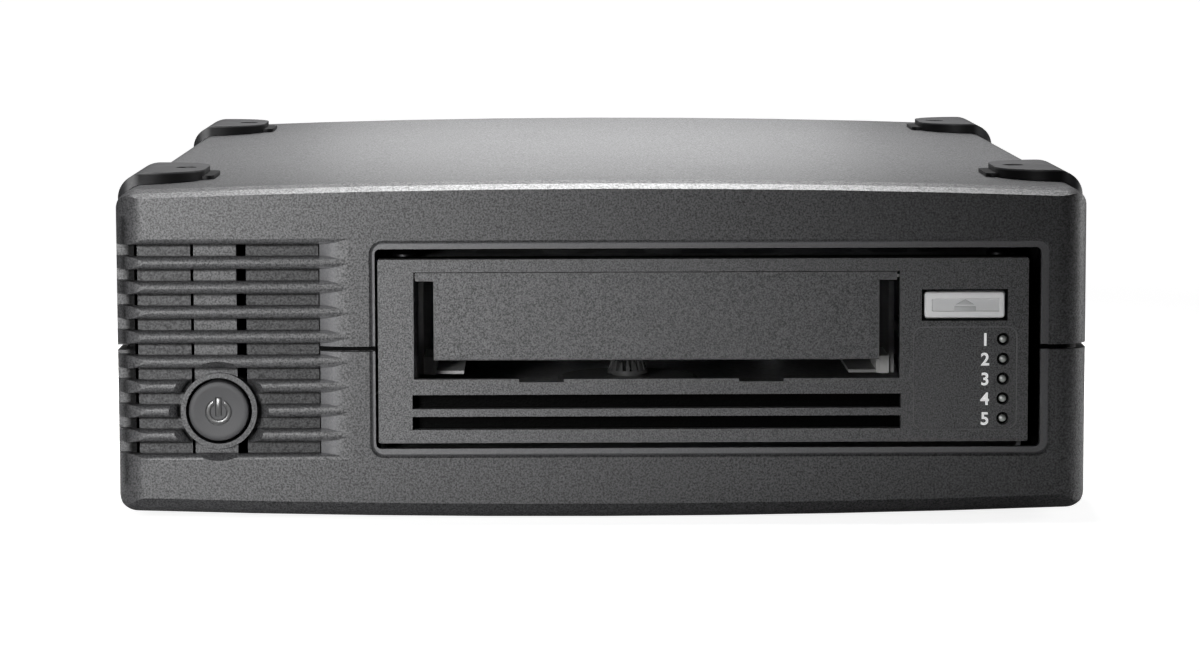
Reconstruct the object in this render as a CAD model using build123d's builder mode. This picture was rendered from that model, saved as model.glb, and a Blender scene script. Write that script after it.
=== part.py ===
import os
from math import atan2, degrees, hypot, pi, sin, sqrt

from build123d import *

# External data tape drive: a half-height drive in a desktop enclosure with its own mains supply.
# Millimetres, +Z up, +X to the right, the front faces -Y.
# The origin is under the middle of the object, on the plane that its feet stand on.

# Enclosure
BODY_WIDTH = 221.6
BODY_DEPTH = 266.0
BODY_BOTTOM = 0.4          # lowest line of the crowned underside
BODY_TOP = 77.7            # highest line of the crowned top
TOP_CROWN = 2.2
BOTTOM_CROWN = 1.9
TOP_CORNER = 5.0
BOTTOM_CORNER = 4.5
FRONT_CORNER = 7.0
REAR_CORNER = 5.0
WALL = 2.8
TOP_LIP = (1.8, 0.7)       # how far the top edge has dropped at the front face and halfway in
BOTTOM_LIP = (3.4, 1.2)
LIP_DEPTH = (1.6, 3.5)
REAR_LIP = 0.8

# Parting line of the two shells
SEAM_Z = 39.5
SEAM_GAP = 1.2
TONGUE_INSET = 2.0

# Vent field at the left of the front
SLOT_COUNT = 9
SLOT_PITCH = 5.65
SLOT_HEIGHT = 2.7
RIB_ROUND = 1.3
RIB_DEPTH = 2.0
CORNER_SLOT_DEPTH = 6.0
VENT_EDGE = 3.1            # solid corner of the case left of the light trap
VENT_WIDTH = 43.4
RAMP_LENGTH = 6.8

# Light trap behind the slots: each panel is (from, to, depth), from the vent field's left edge and the front
PANEL_LEFT = (1.8, 13.9, 4.5)
POST = (14.8, 24.5, 2.2)
PANEL_RIGHT = (26.5, 43.0, 5.0)
BAFFLE_BACK = 7.8
BAFFLE_PLATE = 1.2

# Power button
POWER_OFFSET = 20.3        # from the vent field's left edge
POWER_Z = 25.4
POWER_DISC = 13.75
POWER_BORE = 15.1
COLLAR_DIAMETER = 17.4
COLLAR_DEPTH = 0.8
RELIEF_RADIUS = 11.4
BUTTON_DISH = 0.35
STEM_DIAMETER = 6.0

# Drive bay in the front
BAY_LEFT = -51.7
BAY_RIGHT = 99.9
BAY_BOTTOM = 16.5
BAY_TOP = 62.25
BAY_CORNER = 1.2
RIM_LEFT = 1.3
RIM_RIGHT = 2.3
RIM_ABOVE = 2.0
RIM_BELOW = 2.0
RIM_RECESS = 0.8

# Corner pads on top and feet below, same moulding
PAD_RISE = 0.8              # pad face above the highest line of the case
PAD_SETBACK = 20.0
PAD_LENGTH = 37.0
PAD_PROUD = 1.3            # bulge beyond the side of the case
PAD_WIDTH = 19.5
PAD_TAB_LENGTH = 2.3
PAD_TAB_WIDTH = 19.0
PAD_TAB_ROUND = 2.0
PAD_TAB_HEIGHT = 0.9
PAD_WRAP = 9.0
PAD_ROUND = 6.6
PAD_PLAN_ROUND = 12.0
PAD_REAR_SETBACK = 18.0
SEAT_GAP = 0.1

# Drive module, a half-height 5.25 inch size
BEZEL_LEFT = -51.0
BEZEL_WIDTH = 148.0
BEZEL_BOTTOM = 17.9
BEZEL_HEIGHT = 42.0
BEZEL_FACE = 2.4
BEZEL_DEPTH = 8.0
BEZEL_SKIRT = 1.6
BEZEL_CORNER = 0.4
SHIELD_SETBACK = 6.0       # dust shield behind the air slots
SHIELD_THICKNESS = 1.2
SHIELD_TOP = 30.2
DRIVE_INSET = 1.0          # metal case inside the bezel outline, each side
DRIVE_LENGTH = 199.0
DRIVE_FLOOR = 3.0
DRIVE_SIDE = 2.0
DRIVE_LID = 1.2
LID_BOSS = 2.8              # radius of the corner bosses that take the lid's screws
LID_BOSS_INSET = 4.6
LID_FIELD_EDGE = 16.0      # plain border round the raised field of the lid
LID_FIELD_RISE = 0.8

# Cartridge way
CARTRIDGE_LENGTH = 105.4
CARTRIDGE_X = 12.9
SLOT_LEFT = -42.9
SLOT_RIGHT = 67.7
SLOT_BOTTOM = 32.5
SLOT_TOP = 57.0
DOOR_LEFT = -38.4
DOOR_RIGHT = 63.1
DOOR_BOTTOM = 36.65
DOOR_SETBACK = 1.2
DOOR_THICKNESS = 1.8
HINGE_Z = 55.8
HINGE_SETBACK = 2.6
HINGE_RADIUS = 0.95
HINGE_PIN = 0.5

# Lower air slots, indicator panel, eject button
AIR_SLOTS = ((25.7, 28.95), (20.95, 23.95))
AIR_LEFT = -43.3
AIR_RIGHT = 68.0
PANEL_X = (70.9, 94.4)
PANEL_Z = (20.7, 44.1)
PANEL_SINK = 0.3
LAMP_X = 91.3
LAMP_TOP_Z = 41.26
LAMP_PITCH = 4.54
LAMP_COUNT = 5
LAMP_HOLE = 2.9
LENS_DIAMETER = 2.2
LENS_SINK = 0.45
EJECT_X = 82.45
EJECT_Z = 49.15
EJECT_SIZE = (18.3, 5.9)
EJECT_CORNER = 0.7
EJECT_SINK = 0.3
EJECT_CLEARANCE = 0.3
EJECT_TRAVEL = 1.0

# Loader
TRAY_SETBACK = 25.0
TRAY_WALL = 1.2
TRAY_HALF = 54.4
TRAY_FLOOR = 31.5
TRAY_SHEET = 0.7
TRAY_LEDGE = 9.4
TRAY_TOP = 52.3
TRAY_DROP = 4.0
SHOE_GAP_HALF = 51.45
CAM_TRAVEL = 20.0
CAM_GAP = 1.5
CAM_THICKNESS = 1.5
CAM_BOTTOM = 25.0
CAM_TOP = 38.3
PIN_RADIUS = 1.2
PIN_Z = 34.0
PIN_SETBACKS = (45.0, 111.0)
RUNNING_GAP = 0.15
MODULE = 0.8
RACK_LINE = 39.2
PINION_TEETH = 16
GEAR_TEETH = 26
MOTOR_TEETH = 10
GEAR_SETBACK = 73.0
GEAR_WIDTH = 2.0
SHAFT_RADIUS = 1.5
BORE_GAP = 0.05

# Reels and tape path
HUB_X = 6.8
HUB_SETBACK = 60.0
HUB_TOP = 29.8
HUB_RING = 9.7
HUB_TEETH = 16
HUB_NECK = 3.6
REEL_X = 50.0
REEL_SETBACK = 172.0
REEL_DIAMETER = 62.0
REEL_BOTTOM = 26.5
REEL_HEIGHT = 17.0
ROLLERS = ((-37.0, 139.0), (-31.0, 151.0), (-31.0, 179.0), (-8.0, 193.0))
ROLLER_RADIUS = 5.5
ROLLER_WAIST = 4.6
REEL_CORE = 20.0
REEL_FLANGE = 1.3
SPINDLE = 3.0
POST_RADIUS = 1.5
ROLLER_Z = (28.0, 44.0)
HEAD_X = -8.0
HEAD_SETBACK = 165.0
HEAD_Z = 36.0
HEAD_POSTS = (-11.0, 11.0)

# Controller board under the lid
CONTROL_Z = 51.0
CONTROL_SETBACK = 133.0
CONTROL_LENGTH = 66.0
CONTROL_CHIPS = ((30, 26, 16, 16), (60, 36, 20, 20), (90, 21, 12, 12), (110, 46, 14, 9), (30, 51, 9, 14))

# Rear of the enclosure
PANEL_SHEET = 1.0
REAR_SIDE = 7.8            # rear wall left at each side of its opening
REAR_OPENING_HEIGHT = 61.0
REAR_OPENING_Z = 39.0
FAN_SIZE = 60.0
FAN_DEPTH = 15.0
FAN_HOLE_PITCH = 50.0
FAN_BLADES = 7
FAN_X = 10.0
FAN_Z = 38.5
INLET_SIDE = 28.8          # from the case's left side to the middle of the inlet
INLET_Z = 30.0
INLET_BODY = (27.2, 19.6)
INLET_MOUTH = (24.4, 16.8)
INLET_DEPTH = 17.0
PORT_X = (56.0, 84.0)
PORT_Z = 42.0
PORT_CAGE = (25.6, 11.6)
PORT_DEPTH = 30.0
PORT_SHEET = 0.6

# Chassis tray, supply and screws
TRAY_Z = 13.6
TRAY_BEND = 2.0
TRAY_SCREW_SETBACKS = (28.0, 118.0, 208.0)
CHASSIS_LENGTH = 208.0
DRIVE_SCREW_SETBACKS = (38.0, 148.0)
DRIVE_SCREW_Z = 28.0
CHASSIS_SHEET = 1.0
FLANGE_TOP = 34.0
BOARD_THICKNESS = 1.6
SUPPLY_Z = 10.0
SUPPLY_SIDE = 5.8
SUPPLY_WIDTH = 47.0
SUPPLY_LENGTH = 140.0
SUPPLY_REAR = 38.0
TRANSFORMER_WIDTH = 32.0
TRANSFORMER_HEIGHT = 26.0
SINK_LENGTH = 34.0
SINK_HEIGHT = 34.0
SINK_FINS = 7
SINK_FIN = 1.4
SCREW_RADIUS = 1.45
SCREW_HEAD = (2.8, 1.8)     # radius and height
BOSS_RADIUS = 4.0
CASE_SCREW_SIDE = 8.6
CASE_SCREW_FRONT = 25.0
CASE_SCREW_REAR = 15.0

# Worked out from the sizes above
FRONT = -BODY_DEPTH / 2
REAR = BODY_DEPTH / 2
HALF = BODY_WIDTH / 2
VENT_LEFT = -HALF + VENT_EDGE
VENT_RIGHT = VENT_LEFT + VENT_WIDTH
RAMP_TIP = VENT_RIGHT + RAMP_LENGTH
POWER_X = VENT_LEFT + POWER_OFFSET
PAD_OUTER = HALF + PAD_PROUD
PAD_INNER = PAD_OUTER - PAD_WIDTH
PAD_TAB_END = PAD_INNER - PAD_TAB_LENGTH
PAD_ROWS = (FRONT + PAD_SETBACK + PAD_LENGTH / 2, REAR - PAD_REAR_SETBACK - PAD_LENGTH / 2)
CASE_SCREWS = [(side * (HALF - CASE_SCREW_SIDE), y) for side in (-1, 1)
               for y in (FRONT + CASE_SCREW_FRONT, REAR - CASE_SCREW_REAR)]
INLET_X = -HALF + INLET_SIDE
SUPPLY_X = (-HALF + SUPPLY_SIDE, -HALF + SUPPLY_SIDE + SUPPLY_WIDTH)
SUPPLY_Y = (REAR - SUPPLY_REAR - SUPPLY_LENGTH, REAR - SUPPLY_REAR)
BEZEL_RIGHT = BEZEL_LEFT + BEZEL_WIDTH
BEZEL_TOP = BEZEL_BOTTOM + BEZEL_HEIGHT
DRIVE_LEFT = BEZEL_LEFT + DRIVE_INSET
DRIVE_RIGHT = BEZEL_RIGHT - DRIVE_INSET
DRIVE_BOTTOM = BEZEL_BOTTOM + 0.3
DRIVE_TOP = BEZEL_TOP - 0.8
DRIVE_FRONT = FRONT + BEZEL_DEPTH
DRIVE_BACK = DRIVE_FRONT + DRIVE_LENGTH
FLOOR_Z = DRIVE_BOTTOM + DRIVE_FLOOR
LID_Z = DRIVE_TOP - DRIVE_LID
UPPER_Z = SEAM_Z + SEAM_GAP / 2
LOWER_Z = SEAM_Z - SEAM_GAP / 2
VENT_TOP = SEAM_Z + SLOT_PITCH * SLOT_COUNT / 2
VENT_BOTTOM = SEAM_Z - SLOT_PITCH * SLOT_COUNT / 2
TRAY_FRONT = FRONT + TRAY_SETBACK
TRAY_BACK = TRAY_FRONT + CARTRIDGE_LENGTH + 1.5
HUB_Y = FRONT + HUB_SETBACK
GEAR_Y = FRONT + GEAR_SETBACK
GEAR_Z = RACK_LINE + MODULE * PINION_TEETH / 2
MOTOR_Y = GEAR_Y - MODULE * (GEAR_TEETH + MOTOR_TEETH) / 2
CAM_X = CARTRIDGE_X + TRAY_HALF + TRAY_WALL + CAM_GAP
PLATE_X = CAM_X + CAM_THICKNESS + 0.8
PANEL_FACE = REAR - WALL
PANEL_INSIDE = PANEL_FACE - PANEL_SHEET
PAD_TOP = BODY_TOP + PAD_RISE
FLOOR_TOP = BODY_BOTTOM + WALL
REEL_Y = FRONT + REEL_SETBACK
HEAD_Y = FRONT + HEAD_SETBACK
ROLLER_PLACES = [(x, FRONT + setback) for x, setback in ROLLERS]
SLOT_ANGLE = degrees(atan2(TRAY_DROP, CAM_TRAVEL))
TRAY_POSTS = [(x, FRONT + setback) for x in (DRIVE_LEFT + 6, DRIVE_RIGHT - 6) for setback in TRAY_SCREW_SETBACKS]
DRIVE_SCREWS = [(side, FRONT + setback) for side in (-1, 1) for setback in DRIVE_SCREW_SETBACKS]
LID_SCREWS = [(x, y) for x in (DRIVE_LEFT + LID_BOSS_INSET, DRIVE_RIGHT - LID_BOSS_INSET)
              for y in (DRIVE_FRONT + LID_BOSS_INSET, DRIVE_BACK - LID_BOSS_INSET)]
CONTROL_X = (DRIVE_LEFT + 4, DRIVE_RIGHT - 4)
CONTROL_Y = (FRONT + CONTROL_SETBACK, FRONT + CONTROL_SETBACK + CONTROL_LENGTH)
BOARD_POSTS = [(x, y) for x in (CONTROL_X[0] + 4, CONTROL_X[1] - 4) for y in (CONTROL_Y[0] + 4, CONTROL_Y[1] - 4)]
SUPPLY_POSTS = [(x, y) for x in (SUPPLY_X[0] + 4, SUPPLY_X[1] - 4) for y in (SUPPLY_Y[0] + 5, SUPPLY_Y[1] - 5)]
PORT_BOARD_Z = PORT_Z - PORT_CAGE[1] / 2 - BOARD_THICKNESS
PORT_BOARD_X = (PORT_X[0] - 14, PORT_X[1] + 13.5)
PORT_BOARD_Y = (PANEL_INSIDE - PORT_DEPTH, PANEL_INSIDE - 1)
PORT_POSTS = [(x, y) for x in (PORT_BOARD_X[0] + 4, PORT_BOARD_X[1] - 4)
              for y in (PORT_BOARD_Y[0] + 4, PORT_BOARD_Y[1] - 5)]
FAN_HOLE = FAN_HOLE_PITCH / 2 * sqrt(2)
INLET_PINS = ((INLET_X - 7, INLET_Z - 1.5), (INLET_X + 7, INLET_Z - 1.5), (INLET_X, INLET_Z + 2.5))


def finish(piece, name):
    piece.part.label = name
    export_step(piece.part, f"parts/{name}.step")


def at_depth(y):
    # Sketch plane that faces the front; its x is X and its y is Z, and a negative extrude goes back
    return Plane.XZ.offset(-y)


def span(low, high):
    return (low + high) / 2, high - low


def block(x, y, z, mode=Mode.ADD):
    # Box between the given low and high corners, in the current part
    cx, w = span(*x)
    cy, d = span(*y)
    cz, h = span(*z)
    with Locations((cx, cy, cz)):
        Box(w, d, h, mode=mode)


def disc(x, y, z, radius, mode=Mode.ADD):
    # Upright cylinder from z[0] to z[1]
    cz, h = span(*z)
    with Locations((x, y, cz)):
        Cylinder(radius, h, mode=mode)


def turned(x, y, profile, mode=Mode.ADD):
    # Body turned about an upright axis at (x, y); the profile is a closed line of (radius, z)
    with BuildSketch(at_depth(y)) as half:
        with Locations((x, 0)):
            Polygon(*profile, align=None)
    revolve(half.sketch, axis=Axis((x, y, 0), (0, 0, 1)), mode=mode)


def folded(x, z, radius, y):
    # Upright rectangle with rounded lower corners, seen from the front
    cx, w = span(*x)
    cz, h = span(*z)
    with BuildSketch(at_depth(y)) as section:
        with Locations((cx, cz)):
            Rectangle(w, h)
        fillet(section.vertices().group_by(Axis.Y)[0], radius)
    return section.sketch


def crown_outline(top, bottom, side, y):
    # Front outline of the case: crowned top and underside, rounded corners
    half = HALF - side
    high = BODY_TOP - top
    low = BODY_BOTTOM + bottom
    with BuildSketch(at_depth(y)) as outline:
        with BuildLine():
            over = ThreePointArc((-half, high - TOP_CROWN), (0, high), (half, high - TOP_CROWN))
            under = ThreePointArc((half, low + BOTTOM_CROWN), (0, low), (-half, low + BOTTOM_CROWN))
            Line(over @ 1, under @ 0)
            Line(under @ 1, over @ 0)
        make_face()
        fillet(outline.vertices().filter_by(lambda v: v.Y > SEAM_Z), TOP_CORNER - side)
        fillet(outline.vertices().filter_by(lambda v: abs(v.X) > half - 0.01 and v.Y < SEAM_Z
                                            and v.Y < low + BOTTOM_CROWN + 0.1), BOTTOM_CORNER - side)
    return outline.sketch


def plan_outline(inset):
    # Seen from above: straight sides, larger corners at the front
    with BuildSketch(Plane.XY) as plan:
        Rectangle(BODY_WIDTH - 2 * inset, BODY_DEPTH - 2 * inset)
        fillet(plan.vertices().group_by(Axis.Y)[0], FRONT_CORNER - inset)
        fillet(plan.vertices().filter_by(lambda v: v.Y > 0), REAR_CORNER - inset)
    return plan.sketch


def case_body():
    # Solid form of the case, with the lip round its front edge
    half_way, full = LIP_DEPTH
    with BuildPart() as body:
        loft([crown_outline(TOP_LIP[0], BOTTOM_LIP[0], 0, FRONT),
              crown_outline(TOP_LIP[1], BOTTOM_LIP[1], 0, FRONT + half_way)], ruled=True)
        loft([crown_outline(TOP_LIP[1], BOTTOM_LIP[1], 0, FRONT + half_way),
              crown_outline(0, 0, 0, FRONT + full)], ruled=True)
        extrude(crown_outline(0, 0, 0, FRONT + full), amount=-(BODY_DEPTH - full - REAR_LIP * 2))
        loft([crown_outline(0, 0, 0, REAR - REAR_LIP * 2),
              crown_outline(REAR_LIP, REAR_LIP, 0, REAR)], ruled=True)
        extrude(plan_outline(0), amount=100, mode=Mode.INTERSECT)
    return body.part


def case_hollow():
    with BuildPart() as hollow:
        extrude(crown_outline(WALL, WALL, WALL, FRONT + WALL), amount=-(BODY_DEPTH - 2 * WALL))
        extrude(plan_outline(WALL), amount=100, mode=Mode.INTERSECT)
    return hollow.part


def slot_section(depth):
    # Cross-section of all the slots, flared at the front so that each rib has a rounded nose
    mouth = SLOT_PITCH / 2 - 0.175
    throat = SLOT_HEIGHT / 2
    with BuildSketch(Plane.YZ.offset(-HALF - 1)) as section:
        for index in range(SLOT_COUNT):
            z = SEAM_Z + SLOT_PITCH * (index - (SLOT_COUNT - 1) / 2)
            with BuildLine():
                low = RadiusArc((FRONT, z - mouth), (FRONT + RIB_ROUND, z - throat), RIB_ROUND)
                high = RadiusArc((FRONT + RIB_ROUND, z + throat), (FRONT, z + mouth), RIB_ROUND)
                Polyline(low @ 1, (FRONT + depth, z - throat), (FRONT + depth, z + throat), high @ 0)
                Polyline(high @ 1, (FRONT - 1, z + mouth), (FRONT - 1, z - mouth), low @ 0)
            make_face()
    return section.sketch


def slot_cutter():
    # The slots run from the left corner, through the wall, and rise up a ramp that fades into the face,
    # so that the ribs between them end in points at the right
    radius = (RAMP_LENGTH ** 2 + RIB_DEPTH ** 2) / (2 * RIB_DEPTH)
    half_way = radius - sqrt(radius ** 2 - (RAMP_LENGTH / 2) ** 2)
    behind = FRONT + WALL + 2
    with BuildPart() as cutter:
        extrude(slot_section(WALL + 1), amount=HALF + 1 + RAMP_TIP)
        with BuildSketch(Plane.XY):
            with BuildLine():
                ramp = ThreePointArc((VENT_RIGHT, FRONT + RIB_DEPTH),
                                     (RAMP_TIP - RAMP_LENGTH / 2, FRONT + half_way), (RAMP_TIP, FRONT))
                Polyline(ramp @ 1, (RAMP_TIP + 1, FRONT), (RAMP_TIP + 1, behind), (VENT_RIGHT, behind), ramp @ 0)
            make_face()
        extrude(amount=100, mode=Mode.SUBTRACT)
        extrude(slot_section(CORNER_SLOT_DEPTH), amount=HALF + 1 + VENT_LEFT)
    return cutter.part


def bay_cutter():
    # Opening for the drive and the shallow recess round it
    cx, w = span(BAY_LEFT, BAY_RIGHT)
    cz, h = span(BAY_BOTTOM, BAY_TOP)
    rx, rw = span(BAY_LEFT - RIM_LEFT, BAY_RIGHT + RIM_RIGHT)
    rz, rh = span(BAY_BOTTOM - RIM_BELOW, BAY_TOP + RIM_ABOVE)
    with BuildPart() as cutter:
        with BuildSketch(at_depth(FRONT - 1)):
            with Locations((cx, cz)):
                RectangleRounded(w, h, BAY_CORNER)
        extrude(amount=-(WALL + 3))
        with BuildSketch(at_depth(FRONT)) as mouth:
            with Locations((rx, rz)):
                RectangleRounded(rw, rh, BAY_CORNER + RIM_ABOVE)
        with BuildSketch(at_depth(FRONT + RIM_RECESS)) as seat:
            with Locations((rx, rz)):
                RectangleRounded(rw - 2 * RIM_RECESS, rh - 2 * RIM_RECESS, BAY_CORNER + RIM_ABOVE - RIM_RECESS)
        loft([mouth.sketch, seat.sketch], ruled=True)
    return cutter.part


def relief_cutter():
    # Finger relief: a cone that trims the ribs round the power button
    with BuildPart() as cutter:
        with Locations(at_depth(FRONT - 0.01) * Pos(POWER_X, POWER_Z, -(WALL + 0.2) / 2)):
            Cone(COLLAR_DIAMETER / 2 + 0.1, RELIEF_RADIUS, WALL + 0.2)
    return cutter.part


def rear_cutter():
    with BuildPart() as cutter:
        with BuildSketch(at_depth(REAR + 1)):
            with Locations((0, REAR_OPENING_Z)):
                RectangleRounded(BODY_WIDTH - 2 * REAR_SIDE, REAR_OPENING_HEIGHT, 2.0)
        extrude(amount=WALL + 2)
    return cutter.part


def thin_rib_pocket():
    # The wall is thinner behind the ribs, so that the light trap can come up close to them
    block((VENT_LEFT, VENT_RIGHT), (FRONT + RIB_DEPTH, FRONT + WALL + 0.1),
          (VENT_BOTTOM, VENT_TOP), Mode.SUBTRACT)


def panel_rails(z):
    # Rails that hold the rear panel against the rear wall
    for side in (-1, 1):
        edge = side * (HALF - WALL + 0.5)
        block(sorted((edge, edge - side * 4)), (PANEL_INSIDE - 2.2, PANEL_INSIDE - 0.2), z)


def rod_y(x, z, y, radius, mode=Mode.ADD):
    # Cylinder that runs from front to back
    cy, length = span(*y)
    with Locations(Location((x, cy, z), (90, 0, 0))):
        Cylinder(radius, length, mode=mode)


def rod_x(y, z, x, radius, mode=Mode.ADD):
    # Cylinder that runs from left to right
    cx, length = span(*x)
    with Locations(Location((cx, y, z), (0, 90, 0))):
        Cylinder(radius, length, mode=mode)


def make_top_cover():
    with BuildPart() as cover:
        add(CASE)
        add(HOLLOW, mode=Mode.SUBTRACT)
        block((-HALF - 5, HALF + 5), (FRONT - 5, REAR + 5), (-5, UPPER_Z), Mode.SUBTRACT)
        thin_rib_pocket()
        add(SLOTS, mode=Mode.SUBTRACT)
        add(BAY, mode=Mode.SUBTRACT)
        add(REAR_HOLE, mode=Mode.SUBTRACT)
        for x, y in CASE_SCREWS:
            disc(x, y, (UPPER_Z, BODY_TOP - TOP_CROWN - WALL + 0.5), BOSS_RADIUS)
            disc(x, y, (UPPER_Z, UPPER_Z + 16), SCREW_RADIUS + BORE_GAP, Mode.SUBTRACT)
        for y in (-60, 0, 60):
            block((-HALF + 12, HALF - 12), (y - 0.8, y + 0.8), (BODY_TOP - WALL - 4.5, BODY_TOP - WALL + 0.3))
        panel_rails((UPPER_Z, REAR_OPENING_Z + REAR_OPENING_HEIGHT / 2 - 3.5))
        add(CASE, mode=Mode.INTERSECT)
    finish(cover, "top_cover")


def make_base_shell():
    with BuildPart() as base:
        add(CASE)
        add(HOLLOW, mode=Mode.SUBTRACT)
        block((-HALF - 5, HALF + 5), (FRONT - 5, REAR + 5), (UPPER_Z, 100), Mode.SUBTRACT)
        with BuildSketch(Plane.XY.offset(LOWER_Z)):
            Rectangle(BODY_WIDTH + 10, BODY_DEPTH + 10)
            add(plan_outline(TONGUE_INSET), mode=Mode.SUBTRACT)
        extrude(amount=SEAM_GAP + 1, mode=Mode.SUBTRACT)
        thin_rib_pocket()
        add(SLOTS, mode=Mode.SUBTRACT)
        add(BAY, mode=Mode.SUBTRACT)
        add(REAR_HOLE, mode=Mode.SUBTRACT)
        add(relief_cutter(), mode=Mode.SUBTRACT)
        panel_rails((12, UPPER_Z))
        for x, y in CASE_SCREWS:
            disc(x, y, (FLOOR_TOP - 0.5, UPPER_Z), BOSS_RADIUS)
            disc(x, y, (-1, 12), 3.2, Mode.SUBTRACT)
            disc(x, y, (11, UPPER_Z + 1), SCREW_RADIUS + 0.25, Mode.SUBTRACT)
        for x, y in TRAY_POSTS:
            disc(x, y, (FLOOR_TOP - 0.8, TRAY_Z), BOSS_RADIUS)
            disc(x, y, (TRAY_Z - 7, TRAY_Z + 1), SCREW_RADIUS + BORE_GAP, Mode.SUBTRACT)
        for x, y in SUPPLY_POSTS:
            disc(x, y, (FLOOR_TOP - 0.8, SUPPLY_Z), 3.0)
        for x, y in PORT_POSTS:
            disc(x, y, (FLOOR_TOP - 0.8, PORT_BOARD_Z), 3.0)
    finish(base, "base_shell")


def corner_pad(side, y_centre, upper):
    # Rubber block on a corner: flat face, wrap over the side of the case, thin tab towards the middle
    sign = 1 if upper else -1
    face = PAD_TOP if upper else 0.0
    fall = (PAD_TAB_END / HALF) ** 2
    crown = (BODY_TOP - TOP_CROWN * fall) if upper else (BODY_BOTTOM + BOTTOM_CROWN * fall)
    tab = crown + sign * PAD_TAB_HEIGHT
    bend = PAD_OUTER - PAD_ROUND
    turn = PAD_ROUND * sin(pi / 4)
    with BuildPart() as pad:
        with BuildSketch(at_depth(y_centre - PAD_LENGTH / 2)):
            with BuildLine():
                Polyline((side * bend, face), (side * PAD_INNER, face),
                         (side * PAD_INNER, face - sign * PAD_WRAP),
                         (side * PAD_OUTER, face - sign * PAD_WRAP),
                         (side * PAD_OUTER, face - sign * PAD_ROUND))
                ThreePointArc((side * PAD_OUTER, face - sign * PAD_ROUND),
                              (side * (bend + turn), face - sign * (PAD_ROUND - turn)), (side * bend, face))
            make_face()
        extrude(amount=-PAD_LENGTH)
        with BuildSketch(Plane.XY.offset(-20)) as plan:
            with Locations((side * (PAD_INNER + PAD_OUTER) / 2, y_centre)):
                Rectangle(PAD_OUTER - PAD_INNER, PAD_LENGTH)
            fillet(plan.vertices().sort_by(Axis.X, reverse=side < 0)[:2], PAD_PLAN_ROUND)
            fillet(plan.vertices().sort_by(Axis.X, reverse=side > 0)[:2], 3.0)
        extrude(amount=120, mode=Mode.INTERSECT)
        with BuildSketch(Plane.XY.offset(min(tab, tab - sign * 3))):
            with Locations((side * (PAD_TAB_END + PAD_INNER + 4) / 2, y_centre)):
                RectangleRounded(PAD_INNER + 4 - PAD_TAB_END, PAD_TAB_WIDTH, PAD_TAB_ROUND)
        extrude(amount=3)
        extrude(crown_outline(-SEAT_GAP, -SEAT_GAP, -SEAT_GAP, FRONT - 1),
                amount=-(BODY_DEPTH + 2), mode=Mode.SUBTRACT)
        disc(side * (PAD_INNER + 5), y_centre, sorted((face - sign * 0.5, face + sign)), 2.5, Mode.SUBTRACT)
    return pad.part


def make_pads():
    places = [(side, row) for side in (-1, 1) for row in PAD_ROWS]
    for side, row in places:
        with BuildPart() as pad:
            add(corner_pad(side, row, True))
        finish(pad, f"pad_{'front' if row == PAD_ROWS[0] else 'rear'}_{'left' if side < 0 else 'right'}")
    with BuildPart() as feet:
        for side, row in places:
            add(corner_pad(side, row, False))
        for x, y in CASE_SCREWS:
            disc(x, y, (-1, 20), 3.2, Mode.SUBTRACT)
    finish(feet, "feet")


def make_vent_baffle():
    # Light trap: blocks at three depths with narrow air gaps between, joined by a bar above and below
    back = FRONT + BAFFLE_BACK + BAFFLE_PLATE
    seat = FRONT + WALL
    low = VENT_BOTTOM - 3
    high = VENT_TOP + 3
    with BuildPart() as baffle:
        for z in ((low, VENT_BOTTOM + 0.3), (VENT_TOP - 0.3, high)):
            block((-HALF + FRONT_CORNER, RAMP_TIP), (seat, back), z)
        block((VENT_RIGHT + 0.6, RAMP_TIP), (seat, back), (low, high))
        for left, right, depth in (PANEL_LEFT, PANEL_RIGHT, POST):
            block((VENT_LEFT + left, VENT_LEFT + right), (FRONT + depth, back), (VENT_BOTTOM + 0.1, VENT_TOP - 0.1))
        rod_y(POWER_X, POWER_Z, (FRONT + COLLAR_DEPTH, back), COLLAR_DIAMETER / 2)
        rod_y(POWER_X, POWER_Z, (FRONT - 1, FRONT + BAFFLE_BACK), POWER_BORE / 2, Mode.SUBTRACT)
        rod_y(POWER_X, POWER_Z, (FRONT, back + 1), STEM_DIAMETER / 2 + 0.1, Mode.SUBTRACT)
    finish(baffle, "vent_baffle")


def make_power_button():
    # Turned cap with a shallow dish, on a stem
    edge = POWER_X + POWER_DISC / 2
    stem = POWER_X + STEM_DIAMETER / 2
    back = FRONT + BAFFLE_BACK + BAFFLE_PLATE + 1.5
    with BuildPart() as button:
        with BuildSketch(Plane.XY.offset(POWER_Z)):
            with BuildLine():
                dish = ThreePointArc((POWER_X, FRONT + BUTTON_DISH), ((POWER_X + edge) / 2, FRONT + BUTTON_DISH * 0.72),
                                     (edge - 0.8, FRONT))
                Polyline(dish @ 1, (edge - 0.2, FRONT + 0.2), (edge, FRONT + 0.8), (edge, FRONT + 2.5),
                         (stem, FRONT + 2.5), (stem, back - 0.5), (stem - 0.5, back), (POWER_X, back), dish @ 0)
            make_face()
        revolve(axis=Axis((POWER_X, 0, POWER_Z), (0, 1, 0)))
    finish(button, "power_button")


def make_power_spring():
    start = FRONT + 2.8
    length = BAFFLE_BACK - 3.1
    with BuildPart() as spring:
        with BuildLine():
            coil = Helix(length / 3, length, 4.4, center=(POWER_X, start, POWER_Z), direction=(0, 1, 0))
        with BuildSketch(Plane(coil @ 0, z_dir=coil % 0)):
            RegularPolygon(0.3, 6)
        sweep(path=coil)
    finish(spring, "power_spring")


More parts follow.
